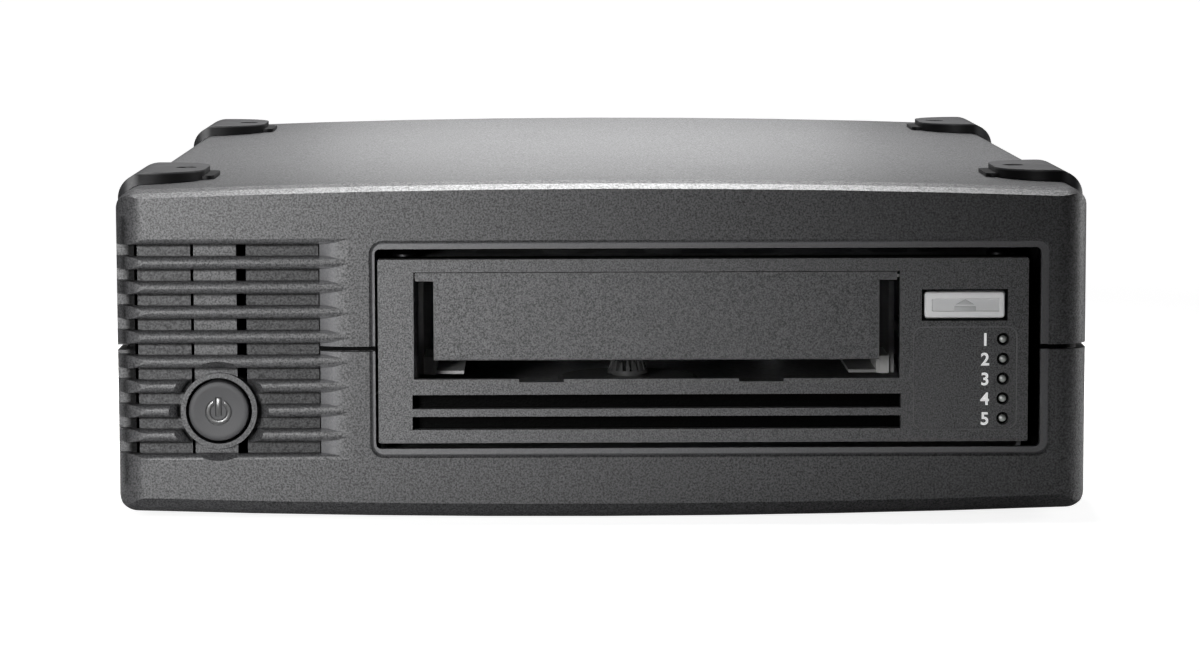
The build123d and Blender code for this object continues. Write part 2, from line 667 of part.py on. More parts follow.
def make_power_switch():
    # Push switch on the back of the light trap; the button's stem runs into it
    face = FRONT + BAFFLE_BACK + BAFFLE_PLATE
    with BuildPart() as switch:
        block((POWER_X - 7, POWER_X + 7), (face, face + 12), (POWER_Z - 6, POWER_Z + 6))
        rod_y(POWER_X, POWER_Z, (face - 1, face + 4.5), STEM_DIAMETER / 2 + 0.3, Mode.SUBTRACT)
        for x in (-4, 0, 4):
            block((POWER_X + x - 0.4, POWER_X + x + 0.4), (face + 12, face + 15), (POWER_Z - 1.5, POWER_Z + 1.5))
    finish(switch, "power_switch")


def make_drive_bezel():
    cx = BEZEL_LEFT + BEZEL_WIDTH / 2
    cz = BEZEL_BOTTOM + BEZEL_HEIGHT / 2
    px, pw = span(*PANEL_X)
    pz, ph = span(*PANEL_Z)
    with BuildPart() as bezel:
        with BuildSketch(at_depth(FRONT)):
            with Locations((cx, cz)):
                RectangleRounded(BEZEL_WIDTH, BEZEL_HEIGHT, BEZEL_CORNER)
        extrude(amount=-BEZEL_DEPTH)
        block((BEZEL_LEFT + BEZEL_SKIRT, BEZEL_RIGHT - BEZEL_SKIRT), (FRONT + BEZEL_FACE, FRONT + BEZEL_DEPTH + 1),
              (BEZEL_BOTTOM + BEZEL_SKIRT, BEZEL_TOP - BEZEL_SKIRT), Mode.SUBTRACT)
        block((SLOT_LEFT, SLOT_RIGHT), (FRONT - 1, FRONT + BEZEL_FACE + 1), (SLOT_BOTTOM, SLOT_TOP), Mode.SUBTRACT)
        for left in (-19.0, 31.1):
            block((left, left + 10.2), (FRONT - 1, FRONT + BEZEL_FACE + 1),
                  (SLOT_BOTTOM - 0.7, SLOT_BOTTOM + 1), Mode.SUBTRACT)
        for z in AIR_SLOTS:
            block((AIR_LEFT, AIR_RIGHT), (FRONT - 1, FRONT + BEZEL_FACE + 1), z, Mode.SUBTRACT)
        with BuildSketch(at_depth(FRONT)):
            with Locations((px, pz)):
                RectangleRounded(pw, ph, 1.7)
        extrude(amount=-PANEL_SINK, mode=Mode.SUBTRACT)
        for index in range(LAMP_COUNT):
            rod_y(LAMP_X, LAMP_TOP_Z - LAMP_PITCH * index, (FRONT - 1, FRONT + BEZEL_FACE + 1),
                  LAMP_HOLE / 2, Mode.SUBTRACT)
        with BuildSketch(at_depth(FRONT - 1)):
            with Locations((EJECT_X, EJECT_Z)):
                RectangleRounded(EJECT_SIZE[0] + 2 * EJECT_CLEARANCE, EJECT_SIZE[1] + 2 * EJECT_CLEARANCE,
                                 EJECT_CORNER + EJECT_CLEARANCE)
        extrude(amount=-(BEZEL_FACE + 2), mode=Mode.SUBTRACT)
        block((AIR_LEFT - 1, AIR_RIGHT + 1), (FRONT + SHIELD_SETBACK, FRONT + SHIELD_SETBACK + SHIELD_THICKNESS),
              (BEZEL_BOTTOM + 1, SHIELD_TOP))
        for x in ((SLOT_LEFT - 3, SLOT_LEFT), (SLOT_RIGHT, SLOT_RIGHT + 3)):
            block(x, (FRONT + BEZEL_FACE, FRONT + BEZEL_FACE + 2.6), (HINGE_Z - 2.5, BEZEL_TOP - BEZEL_SKIRT))
        rod_x(FRONT + HINGE_SETBACK, HINGE_Z, (SLOT_LEFT - 2, SLOT_RIGHT + 2), HINGE_PIN + BORE_GAP, Mode.SUBTRACT)
    finish(bezel, "drive_bezel")


def make_door():
    # Flap that the cartridge pushes in; its lower edge swings back and up
    face = FRONT + DOOR_SETBACK
    axis = FRONT + HINGE_SETBACK
    ears = (SLOT_LEFT + 0.3, SLOT_RIGHT - 0.6)
    with BuildPart() as door:
        block((DOOR_LEFT, DOOR_RIGHT), (face, face + DOOR_THICKNESS), (DOOR_BOTTOM, HINGE_Z))
        block(ears, (face, axis), (HINGE_Z - HINGE_RADIUS, HINGE_Z + HINGE_RADIUS))
        rod_x(axis, HINGE_Z, ears, HINGE_RADIUS)
        fillet(door.edges().filter_by(Axis.X).group_by(Axis.Z)[0].sort_by(Axis.Y)[0], 0.4)
        rod_x(axis, HINGE_Z, (SLOT_LEFT, SLOT_RIGHT), HINGE_PIN + BORE_GAP, Mode.SUBTRACT)
    finish(door, "cartridge_door")


def make_door_pin():
    with BuildPart() as pin:
        rod_x(FRONT + HINGE_SETBACK, HINGE_Z, (SLOT_LEFT - 1.9, SLOT_RIGHT + 1.9), HINGE_PIN)
    finish(pin, "door_hinge_pin")


def make_eject_button():
    # Key with a framed recess; its flange stays behind the bezel and its plunger reaches the switch
    w, h = EJECT_SIZE
    front = FRONT + 0.1
    flange = FRONT + BEZEL_FACE + 0.1
    with BuildPart() as button:
        with BuildSketch(at_depth(front)):
            with Locations((EJECT_X, EJECT_Z)):
                RectangleRounded(w, h, EJECT_CORNER)
        extrude(amount=-2.5)
        chamfer(button.faces().sort_by(Axis.Y)[0].edges(), 0.3)
        with BuildSketch(at_depth(front)):
            with Locations((EJECT_X + 0.3, EJECT_Z)):
                RectangleRounded(w - 2.7, h - 2.8, 0.4)
        extrude(amount=-EJECT_SINK, taper=30, mode=Mode.SUBTRACT)
        with BuildSketch(at_depth(flange)):
            with Locations((EJECT_X, EJECT_Z)):
                RectangleRounded(w + 1.6, h + 1.6, EJECT_CORNER)
        extrude(amount=-0.8)
        rod_y(EJECT_X, EJECT_Z, (FRONT + 3.2, FRONT + 4.4), 2.0)
    finish(button, "eject_button")


def make_status_lenses():
    # Light pipe behind the indicator panel, with a domed lens in each hole
    bottom = LAMP_TOP_Z - LAMP_PITCH * (LAMP_COUNT - 1)
    radius = LENS_DIAMETER / 2
    tip = FRONT + LENS_SINK
    with BuildPart() as lenses:
        block((LAMP_X - 1.9, LAMP_X + 1.9), (FRONT + BEZEL_FACE + 0.1, FRONT + 5.2), (bottom - 2, LAMP_TOP_Z + 2))
        for index in range(LAMP_COUNT):
            z = LAMP_TOP_Z - LAMP_PITCH * index
            with BuildSketch(Plane.XY.offset(z)) as half:
                Polygon((LAMP_X, tip), (LAMP_X + radius * 0.4, tip + 0.09), (LAMP_X + radius * 0.75, tip + 0.36),
                        (LAMP_X + radius, tip + 0.9), (LAMP_X + radius, FRONT + 4), (LAMP_X, FRONT + 4), align=None)
            revolve(half.sketch, axis=Axis((LAMP_X, 0, z), (0, 1, 0)))
    finish(lenses, "status_lenses")


def make_front_board():
    # Circuit board behind the indicator panel, with five lamps and the eject switch
    face = FRONT + 7.0
    with BuildPart() as board:
        block((PANEL_X[0] + 1, DRIVE_RIGHT - DRIVE_SIDE - 0.4), (face, face + BOARD_THICKNESS), (FLOOR_Z + 0.4, 57.0))
        for index in range(LAMP_COUNT):
            z = LAMP_TOP_Z - LAMP_PITCH * index
            block((LAMP_X - 1, LAMP_X + 1), (face - 1.6, face), (z - 1, z + 1))
        block((EJECT_X - 3, EJECT_X + 3), (face - 1.4, face), (EJECT_Z - 3, EJECT_Z + 3))
    finish(board, "front_board")


def make_drive_base():
    # Cast tray of the drive: floor, two sides and a rear wall
    with BuildPart() as base:
        block((DRIVE_LEFT, DRIVE_RIGHT), (DRIVE_FRONT, DRIVE_BACK), (DRIVE_BOTTOM, LID_Z))
        block((DRIVE_LEFT + DRIVE_SIDE, DRIVE_RIGHT - DRIVE_SIDE), (DRIVE_FRONT - 1, DRIVE_BACK - DRIVE_SIDE),
              (FLOOR_Z, LID_Z + 1), Mode.SUBTRACT)
        block((DRIVE_RIGHT - 60, DRIVE_RIGHT - 20), (DRIVE_BACK - 3, DRIVE_BACK + 1), (FLOOR_Z + 3, FLOOR_Z + 12),
              Mode.SUBTRACT)
        for side, y in DRIVE_SCREWS:
            wall = DRIVE_LEFT if side < 0 else DRIVE_RIGHT
            rod_x(y, DRIVE_SCREW_Z, (wall - 3, wall + 3), SCREW_RADIUS + BORE_GAP, Mode.SUBTRACT)
        fillet(base.edges().filter_by(Axis.Z).filter_by(lambda e: abs(e.center().Y - DRIVE_BACK) < 0.1), 1.5)
        for x, y in LID_SCREWS:
            disc(x, y, (FLOOR_Z - 0.5, LID_Z), LID_BOSS)
            disc(x, y, (LID_Z - 9, LID_Z + 1), SCREW_RADIUS + BORE_GAP, Mode.SUBTRACT)
    finish(base, "drive_base")


def make_drive_lid():
    # Pressed cover with a raised field; four posts hold the controller board under it
    cx, w = span(DRIVE_LEFT, DRIVE_RIGHT)
    cy, d = span(DRIVE_FRONT, DRIVE_BACK)
    low = 2 * LID_FIELD_EDGE
    with BuildPart() as lid:
        block((DRIVE_LEFT, DRIVE_RIGHT), (DRIVE_FRONT, DRIVE_BACK), (LID_Z, DRIVE_TOP))
        with BuildSketch(Plane.XY.offset(DRIVE_TOP)):
            with Locations((cx, cy)):
                RectangleRounded(w - low, d - low, 8.0)
        extrude(amount=LID_FIELD_RISE, taper=45)
        with BuildSketch(Plane.XY.offset(LID_Z)):
            with Locations((cx, cy)):
                RectangleRounded(w - low - 2, d - low - 2, 7.0)
        extrude(amount=LID_FIELD_RISE, taper=45, mode=Mode.SUBTRACT)
        for x, y in BOARD_POSTS:
            disc(x, y, (CONTROL_Z + BOARD_THICKNESS, DRIVE_TOP - 0.3), 2.5)
        for x, y in LID_SCREWS:
            disc(x, y, (LID_Z - 1, DRIVE_TOP + 1), SCREW_RADIUS + 0.25, Mode.SUBTRACT)
    finish(lid, "drive_lid")


def make_controller_board():
    top = CONTROL_Z + BOARD_THICKNESS
    with BuildPart() as board:
        block(CONTROL_X, CONTROL_Y, (CONTROL_Z, top))
        with BuildSketch(Plane.XY.offset(top)):
            for x, setback, w, d in CONTROL_CHIPS:
                with Locations((DRIVE_LEFT + x, CONTROL_Y[0] + setback)):
                    RectangleRounded(w, d, 0.5)
        extrude(amount=1.4, taper=8)
        block((CONTROL_X[1] - 22, CONTROL_X[1] - 6), (CONTROL_Y[1] - 10, CONTROL_Y[1] - 4), (CONTROL_Z - 5, CONTROL_Z))
    finish(board, "controller_board")


def make_drive_connector():
    # Plug in the drive's rear wall, with a flange against the inside of the wall
    left = DRIVE_RIGHT - 60
    right = DRIVE_RIGHT - 20
    inside = DRIVE_BACK - DRIVE_SIDE
    with BuildPart() as plug:
        block((left + 0.3, right - 0.3), (inside - 1, DRIVE_BACK + 2), (FLOOR_Z + 3.3, FLOOR_Z + 11.7))
        block((left - 2, right + 2), (inside - 1, inside), (FLOOR_Z + 1.5, FLOOR_Z + 13.5))
        block((left + 3, right - 3), (inside + 1, DRIVE_BACK + 3), (FLOOR_Z + 5, FLOOR_Z + 10), Mode.SUBTRACT)
        block((left + 5, right - 5), (inside, DRIVE_BACK + 1), (FLOOR_Z + 7, FLOOR_Z + 8))
    finish(plug, "drive_connector")


def tray_side(side, low, high):
    # A stretch of X measured outwards from the cartridge's middle, on the left or the right
    return sorted((CARTRIDGE_X + side * low, CARTRIDGE_X + side * high))


def make_cartridge_tray():
    # Open-fronted frame that carries the cartridge; its pins ride in the cam slots
    outer = TRAY_HALF + TRAY_WALL
    with BuildPart() as tray:
        for side in (-1, 1):
            block(tray_side(side, TRAY_HALF, outer), (TRAY_FRONT, TRAY_BACK), (TRAY_FLOOR - TRAY_SHEET, TRAY_TOP))
            block(tray_side(side, TRAY_HALF - TRAY_LEDGE, outer), (TRAY_FRONT, TRAY_BACK),
                  (TRAY_FLOOR - TRAY_SHEET, TRAY_FLOOR))
            for setback in PIN_SETBACKS:
                reach = PLATE_X + 1.0 - CARTRIDGE_X
                rod_x(FRONT + setback, PIN_Z, tray_side(side, TRAY_HALF + 0.2, reach), PIN_RADIUS)
        block(tray_side(1, -outer, outer), (TRAY_BACK - 10, TRAY_BACK), (TRAY_FLOOR - TRAY_SHEET, TRAY_FLOOR))
        block(tray_side(1, -outer, outer), (TRAY_BACK - 1, TRAY_BACK), (TRAY_FLOOR - TRAY_SHEET, TRAY_TOP - 8))
    finish(tray, "cartridge_tray")


def make_guide_shoes():
    # Moulded guides at the tray's front corners, with a lead-in
    with BuildPart() as shoes:
        for side in (-1, 1):
            block(tray_side(side, SHOE_GAP_HALF, TRAY_HALF), (TRAY_FRONT - 1.2, TRAY_FRONT + 16), (TRAY_FLOOR, 34.9))
            block(tray_side(side, SHOE_GAP_HALF, TRAY_HALF), (TRAY_FRONT - 1.2, TRAY_FRONT),
                  (TRAY_FLOOR - TRAY_SHEET, TRAY_FLOOR))
        inner = shoes.edges().filter_by(Axis.Z).filter_by(
            lambda e: abs(abs(e.center().X - CARTRIDGE_X) - SHOE_GAP_HALF) < 0.01).group_by(Axis.Y)[0]
        chamfer(inner, 0.8)
    finish(shoes, "guide_shoes")


def make_cam_slider():
    # Two slotted plates joined by a bar; the right one has the rack
    y = (FRONT + 21, FRONT + 125)
    inner = TRAY_HALF + TRAY_WALL + CAM_GAP
    length = hypot(CAM_TRAVEL, TRAY_DROP)
    pitch = pi * MODULE
    with BuildPart() as cam:
        for side in (-1, 1):
            block(tray_side(side, inner, inner + CAM_THICKNESS), y, (CAM_BOTTOM, CAM_TOP))
        block(tray_side(1, -inner - 0.1, inner + 0.1), (y[1] - 22, y[1] - 16), (CAM_BOTTOM, CAM_BOTTOM + 1.2))
        with BuildSketch(Plane.YZ.offset(CARTRIDGE_X - inner - CAM_THICKNESS - 1)):
            for setback in PIN_SETBACKS:
                with Locations((FRONT + setback - CAM_TRAVEL / 2, PIN_Z - TRAY_DROP / 2)):
                    SlotCenterToCenter(length, 2 * (PIN_RADIUS + RUNNING_GAP), rotation=SLOT_ANGLE)
        extrude(amount=2 * (inner + CAM_THICKNESS) + 2, mode=Mode.SUBTRACT)
        with BuildSketch(Plane.YZ.offset(CAM_X)):
            for index in range(-10, 2):
                centre = GEAR_Y + (index + 0.5) * pitch
                Polygon((centre - 0.9, CAM_TOP - 0.2), (centre + 0.9, CAM_TOP - 0.2),
                        (centre + 0.3, RACK_LINE + 0.7), (centre - 0.3, RACK_LINE + 0.7), align=None)
        extrude(amount=CAM_THICKNESS)
    finish(cam, "cam_slider")


def make_guide_plates():
    # Fixed plates whose upright slots keep the tray from moving with the cam
    near = PLATE_X - CARTRIDGE_X
    with BuildPart() as plates:
        for side in (-1, 1):
            block(tray_side(side, near, near + 1.2), (FRONT + 23, FRONT + 128), (FLOOR_Z, 40))
        block(tray_side(1, near, near + 7), (FRONT + 23, FRONT + 128), (FLOOR_Z, FLOOR_Z + 1))
        block(tray_side(1, near, near + 1.2), (GEAR_Y - 7, GEAR_Y + 7), (39, GEAR_Z + 4))
        for setback in PIN_SETBACKS:
            block(tray_side(1, -near - 2, near + 2), (FRONT + setback - PIN_RADIUS - RUNNING_GAP,
                  FRONT + setback + PIN_RADIUS + RUNNING_GAP),
                  (PIN_Z - TRAY_DROP - PIN_RADIUS - 0.3, PIN_Z + PIN_RADIUS + 0.3), Mode.SUBTRACT)
        rod_x(GEAR_Y, GEAR_Z, (PLATE_X - 1, PLATE_X + 2), SHAFT_RADIUS + BORE_GAP, Mode.SUBTRACT)
    finish(plates, "guide_plates")


def gear(teeth, start, x):
    # Spur gear on an X axis, at the origin of the current location; teeth start at the given angle
    pitch_radius = MODULE * teeth / 2
    with BuildSketch(Plane.YZ.offset(x[0])) as wheel:
        Circle(pitch_radius - 0.9)
        with PolarLocations(0, teeth, start_angle=start):
            Polygon((pitch_radius - 1.3, -0.85), (pitch_radius - 1.3, 0.85),
                    (pitch_radius + 0.7, 0.3), (pitch_radius + 0.7, -0.3), align=None)
    return extrude(wheel.sketch, amount=x[1] - x[0], mode=Mode.PRIVATE)


def make_load_gear():
    with BuildPart() as train:
        with Locations((0, GEAR_Y, GEAR_Z)):
            add(gear(PINION_TEETH, -90, (CAM_X, CAM_X + CAM_THICKNESS)))
            add(gear(GEAR_TEETH, 180, (PLATE_X + 2, PLATE_X + 2 + GEAR_WIDTH)))
        rod_x(GEAR_Y, GEAR_Z, (CAM_X - 0.4, PLATE_X + 2.5 + GEAR_WIDTH), SHAFT_RADIUS)
    finish(train, "load_gear")


def make_motor_pinion():
    with BuildPart() as pinion:
        with Locations((0, MOTOR_Y, GEAR_Z)):
            add(gear(MOTOR_TEETH, 18, (PLATE_X + 2, PLATE_X + 2 + GEAR_WIDTH)))
        rod_x(MOTOR_Y, GEAR_Z, (PLATE_X + 1.6, PLATE_X + 9.5), 1.0)
    finish(pinion, "motor_pinion")


def make_load_motor():
    with BuildPart() as motor:
        rod_x(MOTOR_Y, GEAR_Z, (PLATE_X + 6, DRIVE_RIGHT - DRIVE_SIDE - 0.3), 9.0)
        block((PLATE_X + 8, DRIVE_RIGHT - DRIVE_SIDE - 2), (MOTOR_Y - 6, MOTOR_Y + 6), (FLOOR_Z, GEAR_Z))
        rod_x(MOTOR_Y, GEAR_Z, (PLATE_X + 5, PLATE_X + 10), 1.0 + BORE_GAP, Mode.SUBTRACT)
    finish(motor, "load_motor")


def make_hub_motor():
    # Flat motor with a fixed spindle
    with BuildPart() as motor:
        turned(HUB_X, HUB_Y, ((0, FLOOR_Z), (19, FLOOR_Z), (19, FLOOR_Z + 2), (18, FLOOR_Z + 3), (4, FLOOR_Z + 3),
                              (POST_RADIUS, FLOOR_Z + 3.2), (POST_RADIUS, HUB_TOP - 1.8), (1.2, HUB_TOP - 1.5),
                              (0, HUB_TOP - 1.5)))
    finish(motor, "hub_motor")


def make_drive_hub():
    # Rotor of the hub motor: dished disc, narrow neck, and the ring of upright teeth that engages the cartridge
    ring = HUB_TOP - 3.0
    disc_z = FLOOR_Z + 3.3
    bore = POST_RADIUS + BORE_GAP
    with BuildPart() as hub:
        turned(HUB_X, HUB_Y, ((bore, disc_z), (17, disc_z), (17, disc_z + 1.2), (16, disc_z + 1.6),
                              (HUB_NECK + 2, disc_z + 1.2), (HUB_NECK, disc_z + 1.8), (HUB_NECK, ring),
                              (HUB_RING / 2, ring), (HUB_RING / 2, ring + 0.8), (bore, ring + 0.8)))
        with BuildSketch(Plane.XY.offset(ring + 0.7)) as root:
            with Locations((HUB_X, HUB_Y)):
                with PolarLocations(HUB_RING / 2 - 0.85, HUB_TEETH):
                    Rectangle(1.5, 1.1)
        with BuildSketch(Plane.XY.offset(HUB_TOP)) as tip:
            with Locations((HUB_X, HUB_Y)):
                with PolarLocations(HUB_RING / 2 - 1.3, HUB_TEETH):
                    Rectangle(0.8, 0.5)
        for low, high in zip(root.sketch.faces(), tip.sketch.faces()):
            loft([low, high], ruled=True)
    finish(hub, "drive_hub")


def make_take_up_motor():
    top = REEL_BOTTOM + REEL_HEIGHT + 1.5
    shelf = REEL_BOTTOM - 0.5
    with BuildPart() as motor:
        turned(REEL_X, REEL_Y, ((0, FLOOR_Z), (17, FLOOR_Z), (17, shelf - 1), (16, shelf), (SPINDLE, shelf),
                                (SPINDLE, top - 0.5), (SPINDLE - 0.5, top), (0, top)))
    finish(motor, "take_up_motor")


def make_take_up_reel():
    # Core with two flanges that taper to their rims, and six holes through the web
    low = REEL_BOTTOM
    high = REEL_BOTTOM + REEL_HEIGHT
    rim = REEL_DIAMETER / 2
    bore = SPINDLE + BORE_GAP
    with BuildPart() as reel:
        turned(REEL_X, REEL_Y, ((bore, low), (rim, low), (rim, low + REEL_FLANGE - 0.5), (REEL_CORE, low + REEL_FLANGE),
                                (REEL_CORE, high - REEL_FLANGE), (rim, high - REEL_FLANGE + 0.5), (rim, high),
                                (REEL_CORE - 2, high), (REEL_CORE - 3.5, high - 1.5), (bore + 2.5, high - 1.5),
                                (bore + 2, high), (bore, high)))
        with BuildSketch(Plane.XY.offset(low - 1)):
            with Locations((REEL_X, REEL_Y)):
                with PolarLocations((REEL_CORE + SPINDLE) / 2, 6):
                    Circle(3.2)
        extrude(amount=REEL_HEIGHT + 2, mode=Mode.SUBTRACT)
    finish(reel, "take_up_reel")


def make_rollers():
    # Fixed posts with a shoulder, and a flanged guide roller on each of the first four
    low, high = ROLLER_Z
    bore = POST_RADIUS + BORE_GAP
    with BuildPart() as posts:
        for x, y in ROLLER_PLACES:
            turned(x, y, ((0, FLOOR_Z), (4, FLOOR_Z), (3, FLOOR_Z + 1.5), (3, low - 0.3), (POST_RADIUS, low - 0.3),
                          (POST_RADIUS, high + 1.7), (1.1, high + 2), (0, high + 2)))
        for offset_x in HEAD_POSTS:
            turned(HEAD_X + offset_x, HEAD_Y, ((0, FLOOR_Z), (2.6, FLOOR_Z), (2.6, FLOOR_Z + 4), (POST_RADIUS, FLOOR_Z + 4),
                                               (POST_RADIUS, 49.6), (1.1, 50), (0, 50)))
    finish(posts, "tape_posts")
    for index, (x, y) in enumerate(ROLLER_PLACES, 1):
        with BuildPart() as roller:
            turned(x, y, ((bore, low), (ROLLER_RADIUS, low), (ROLLER_RADIUS, low + 0.8), (ROLLER_WAIST, low + 1.5),
                          (ROLLER_WAIST, high - 1.5), (ROLLER_RADIUS, high - 0.8), (ROLLER_RADIUS, high), (bore, high)))
        finish(roller, f"tape_roller_{index}")


def make_head_group():
    with BuildPart() as carriage:
        block((HEAD_X - 14, HEAD_X + 14), (HEAD_Y - 5, HEAD_Y + 5), (HEAD_Z - 4, HEAD_Z + 5))
        fillet(carriage.edges().filter_by(Axis.Z), 2.0)
        for offset_x in HEAD_POSTS:
            disc(HEAD_X + offset_x, HEAD_Y, (HEAD_Z - 5, HEAD_Z + 6), POST_RADIUS + BORE_GAP, Mode.SUBTRACT)
    finish(carriage, "head_carriage")
    with BuildPart() as head:
        block((HEAD_X - 26, HEAD_X - 14), (HEAD_Y - 6, HEAD_Y + 6), (HEAD_Z - 6, HEAD_Z + 7))
        disc(HEAD_X - 24.5, HEAD_Y - 3, (HEAD_Z - 6, HEAD_Z + 7), 3.0)
        disc(HEAD_X - 24.5, HEAD_Y + 3, (HEAD_Z - 6, HEAD_Z + 7), 3.0)
    finish(head, "tape_head")
    with BuildPart() as coil:
        disc(HEAD_X, HEAD_Y, (HEAD_Z - 9, HEAD_Z - 4), 5.0)
        disc(HEAD_X, HEAD_Y, (HEAD_Z - 10, HEAD_Z - 4), 4.0, Mode.SUBTRACT)
    finish(coil, "voice_coil")
    with BuildPart() as magnet:
        disc(HEAD_X, HEAD_Y, (FLOOR_Z, HEAD_Z - 7.5), 8.0)
        disc(HEAD_X, HEAD_Y, (FLOOR_Z + 1.8, HEAD_Z), 6.2, Mode.SUBTRACT)
        disc(HEAD_X, HEAD_Y, (FLOOR_Z, HEAD_Z - 7.5), 3.2)
    finish(magnet, "coil_magnet")


def make_chassis_tray():
    # Folded sheet that carries the drive by its sides
    left = DRIVE_LEFT - 0.3
    right = DRIVE_RIGHT + 0.3
    start = FRONT + 15
    with BuildPart() as tray:
        extrude(folded((left - CHASSIS_SHEET, right + CHASSIS_SHEET), (TRAY_Z, FLANGE_TOP), TRAY_BEND, start),
                amount=-CHASSIS_LENGTH)
        extrude(folded((left, right), (TRAY_Z + CHASSIS_SHEET, FLANGE_TOP + 1), TRAY_BEND - CHASSIS_SHEET, start),
                amount=-CHASSIS_LENGTH, mode=Mode.SUBTRACT)
        for side, screw_y in DRIVE_SCREWS:
            wall = left if side < 0 else right
            rod_x(screw_y, DRIVE_SCREW_Z, (wall - 3, wall + 3), 1.7, Mode.SUBTRACT)
        for x, screw_y in TRAY_POSTS:
            disc(x, screw_y, (TRAY_Z - 1, TRAY_Z + 2), 1.7, Mode.SUBTRACT)
        with BuildSketch(Plane.XY.offset(TRAY_Z - 1)):
            with Locations(((DRIVE_LEFT + DRIVE_RIGHT) / 2, FRONT + 118)):
                with GridLocations(36, 44, 3, 4):
                    SlotOverall(24, 8)
        extrude(amount=3, mode=Mode.SUBTRACT)
    finish(tray, "chassis_tray")


def pan_screw(x, y, z):
    # Screw that points down, with its head on a sheet whose top is at z
    radius, height = SCREW_HEAD
    turned(x, y, ((0, z - 7), (SCREW_RADIUS, z - 7), (SCREW_RADIUS, z), (radius, z), (radius, z + height - 0.7),
                  (radius - 0.7, z + height), (0, z + height)))


def make_screws():
    with BuildPart() as case:
        for x, y in CASE_SCREWS:
            disc(x, y, (9.4, 12), 3.0)
            disc(x, y, (10, UPPER_Z + 13), SCREW_RADIUS)
            disc(x, y, (9, 10.6), 1.1, Mode.SUBTRACT)
    finish(case, "case_screws")
    with BuildPart() as drive:
        for side, y in DRIVE_SCREWS:
            wall = DRIVE_LEFT - 0.3 - CHASSIS_SHEET if side < 0 else DRIVE_RIGHT + 0.3 + CHASSIS_SHEET
            rod_x(y, DRIVE_SCREW_Z, sorted((wall, wall + side * SCREW_HEAD[1])), SCREW_HEAD[0])
            rod_x(y, DRIVE_SCREW_Z, sorted((wall + side, wall - side * 3.2)), SCREW_RADIUS)
        for x, y in TRAY_POSTS:
            pan_screw(x, y, TRAY_Z + CHASSIS_SHEET)
        for x, y in LID_SCREWS:
            pan_screw(x, y, DRIVE_TOP)
    finish(drive, "drive_screws")


def make_supply():
    top = SUPPLY_Z + BOARD_THICKNESS
    cx, width = span(*SUPPLY_X)
    near = SUPPLY_Y[0]
    with BuildPart() as board:
        block(SUPPLY_X, SUPPLY_Y, (SUPPLY_Z, top))
        block((SUPPLY_X[0] + 4, SUPPLY_X[0] + 24), (SUPPLY_Y[1] - 14, SUPPLY_Y[1] - 4), (top, top + 9))
        block((SUPPLY_X[1] - 26, SUPPLY_X[1] - 4), (near + 2, near + 10), (top, top + 9))
        rod_x(near + 96, top + 4, (SUPPLY_X[0] + 4, SUPPLY_X[0] + 24), 3.2)
        for x in (SUPPLY_X[0] + 4, SUPPLY_X[0] + 20):
            block((x, x + 4), (near + 93, near + 99), (top, top + 4))
    finish(board, "supply_board")
    with BuildPart() as transformer:
        with BuildSketch(at_depth(near + 60)):
            with Locations((cx, top + TRANSFORMER_HEIGHT / 2)):
                Rectangle(TRANSFORMER_WIDTH, TRANSFORMER_HEIGHT)
                with GridLocations(TRANSFORMER_WIDTH / 2, 0, 2, 1):
                    RectangleRounded(7, TRANSFORMER_HEIGHT - 9, 0.8, mode=Mode.SUBTRACT)
        extrude(amount=-18)
        with BuildSketch(Plane.XY.offset(top + 5)):
            with Locations((cx, near + 69)):
                RectangleRounded(TRANSFORMER_WIDTH - 10, 28, 4.0)
        extrude(amount=TRANSFORMER_HEIGHT - 10)
    finish(transformer, "supply_transformer")
    with BuildPart() as capacitors:
        for x, setback in ((cx - 10, 114), (cx + 12, 111), (cx - 12, 31)):
            turned(x, near + setback, ((0, top), (8.5, top), (8.5, top + 2.5), (7.9, top + 3.2), (7.9, top + 3.8),
                                       (8.5, top + 4.5), (8.5, top + 31.2), (7.7, top + 32), (0, top + 32)))
    finish(capacitors, "supply_capacitors")
    with BuildPart() as sink:
        with BuildSketch(Plane.YZ.offset(cx - 2)):
            with Locations((near + 32, top + 1.5)):
                Rectangle(SINK_LENGTH, 3)
            with Locations((near + 32, top + SINK_HEIGHT / 2)):
                with GridLocations((SINK_LENGTH - SINK_FIN) / (SINK_FINS - 1), 0, SINK_FINS, 1):
                    Rectangle(SINK_FIN, SINK_HEIGHT)
        extrude(amount=22)
    finish(sink, "supply_heat_sink")


def make_rear_panel():
    with BuildPart() as panel:
        block((-HALF + 5.3, HALF - 5.3), (PANEL_INSIDE, PANEL_FACE),
              (REAR_OPENING_Z - REAR_OPENING_HEIGHT / 2 - 2.7, REAR_OPENING_Z + REAR_OPENING_HEIGHT / 2 + 2.5))
        with BuildSketch(at_depth(PANEL_INSIDE - 1)):
            with Locations((INLET_X, INLET_Z)):
                Rectangle(INLET_BODY[0] + 0.4, INLET_BODY[1] + 0.4)
            for x in PORT_X:
                with Locations((x, PORT_Z)):
                    Rectangle(PORT_CAGE[0] + 0.4, PORT_CAGE[1] + 0.4)
            with Locations((FAN_X, FAN_Z)):
                with PolarLocations(FAN_HOLE, 4, start_angle=45):
                    Circle(2.1)
            with Locations((-40, 24), (-40, 40), (-40, 56)):
                SlotOverall(20, 4)
        extrude(amount=-4, mode=Mode.SUBTRACT)
        with BuildSketch(at_depth(PANEL_INSIDE - 1)):
            with Locations((FAN_X, FAN_Z)):
                for radius in (25, 19.5, 14, 8.5):
                    Circle(radius)
                    Circle(radius - 3.6, mode=Mode.SUBTRACT)
                for angle in (0, 90):
                    Rectangle(60, 2.6, rotation=angle, mode=Mode.SUBTRACT)
        extrude(amount=-4, mode=Mode.SUBTRACT)
    finish(panel, "rear_panel")


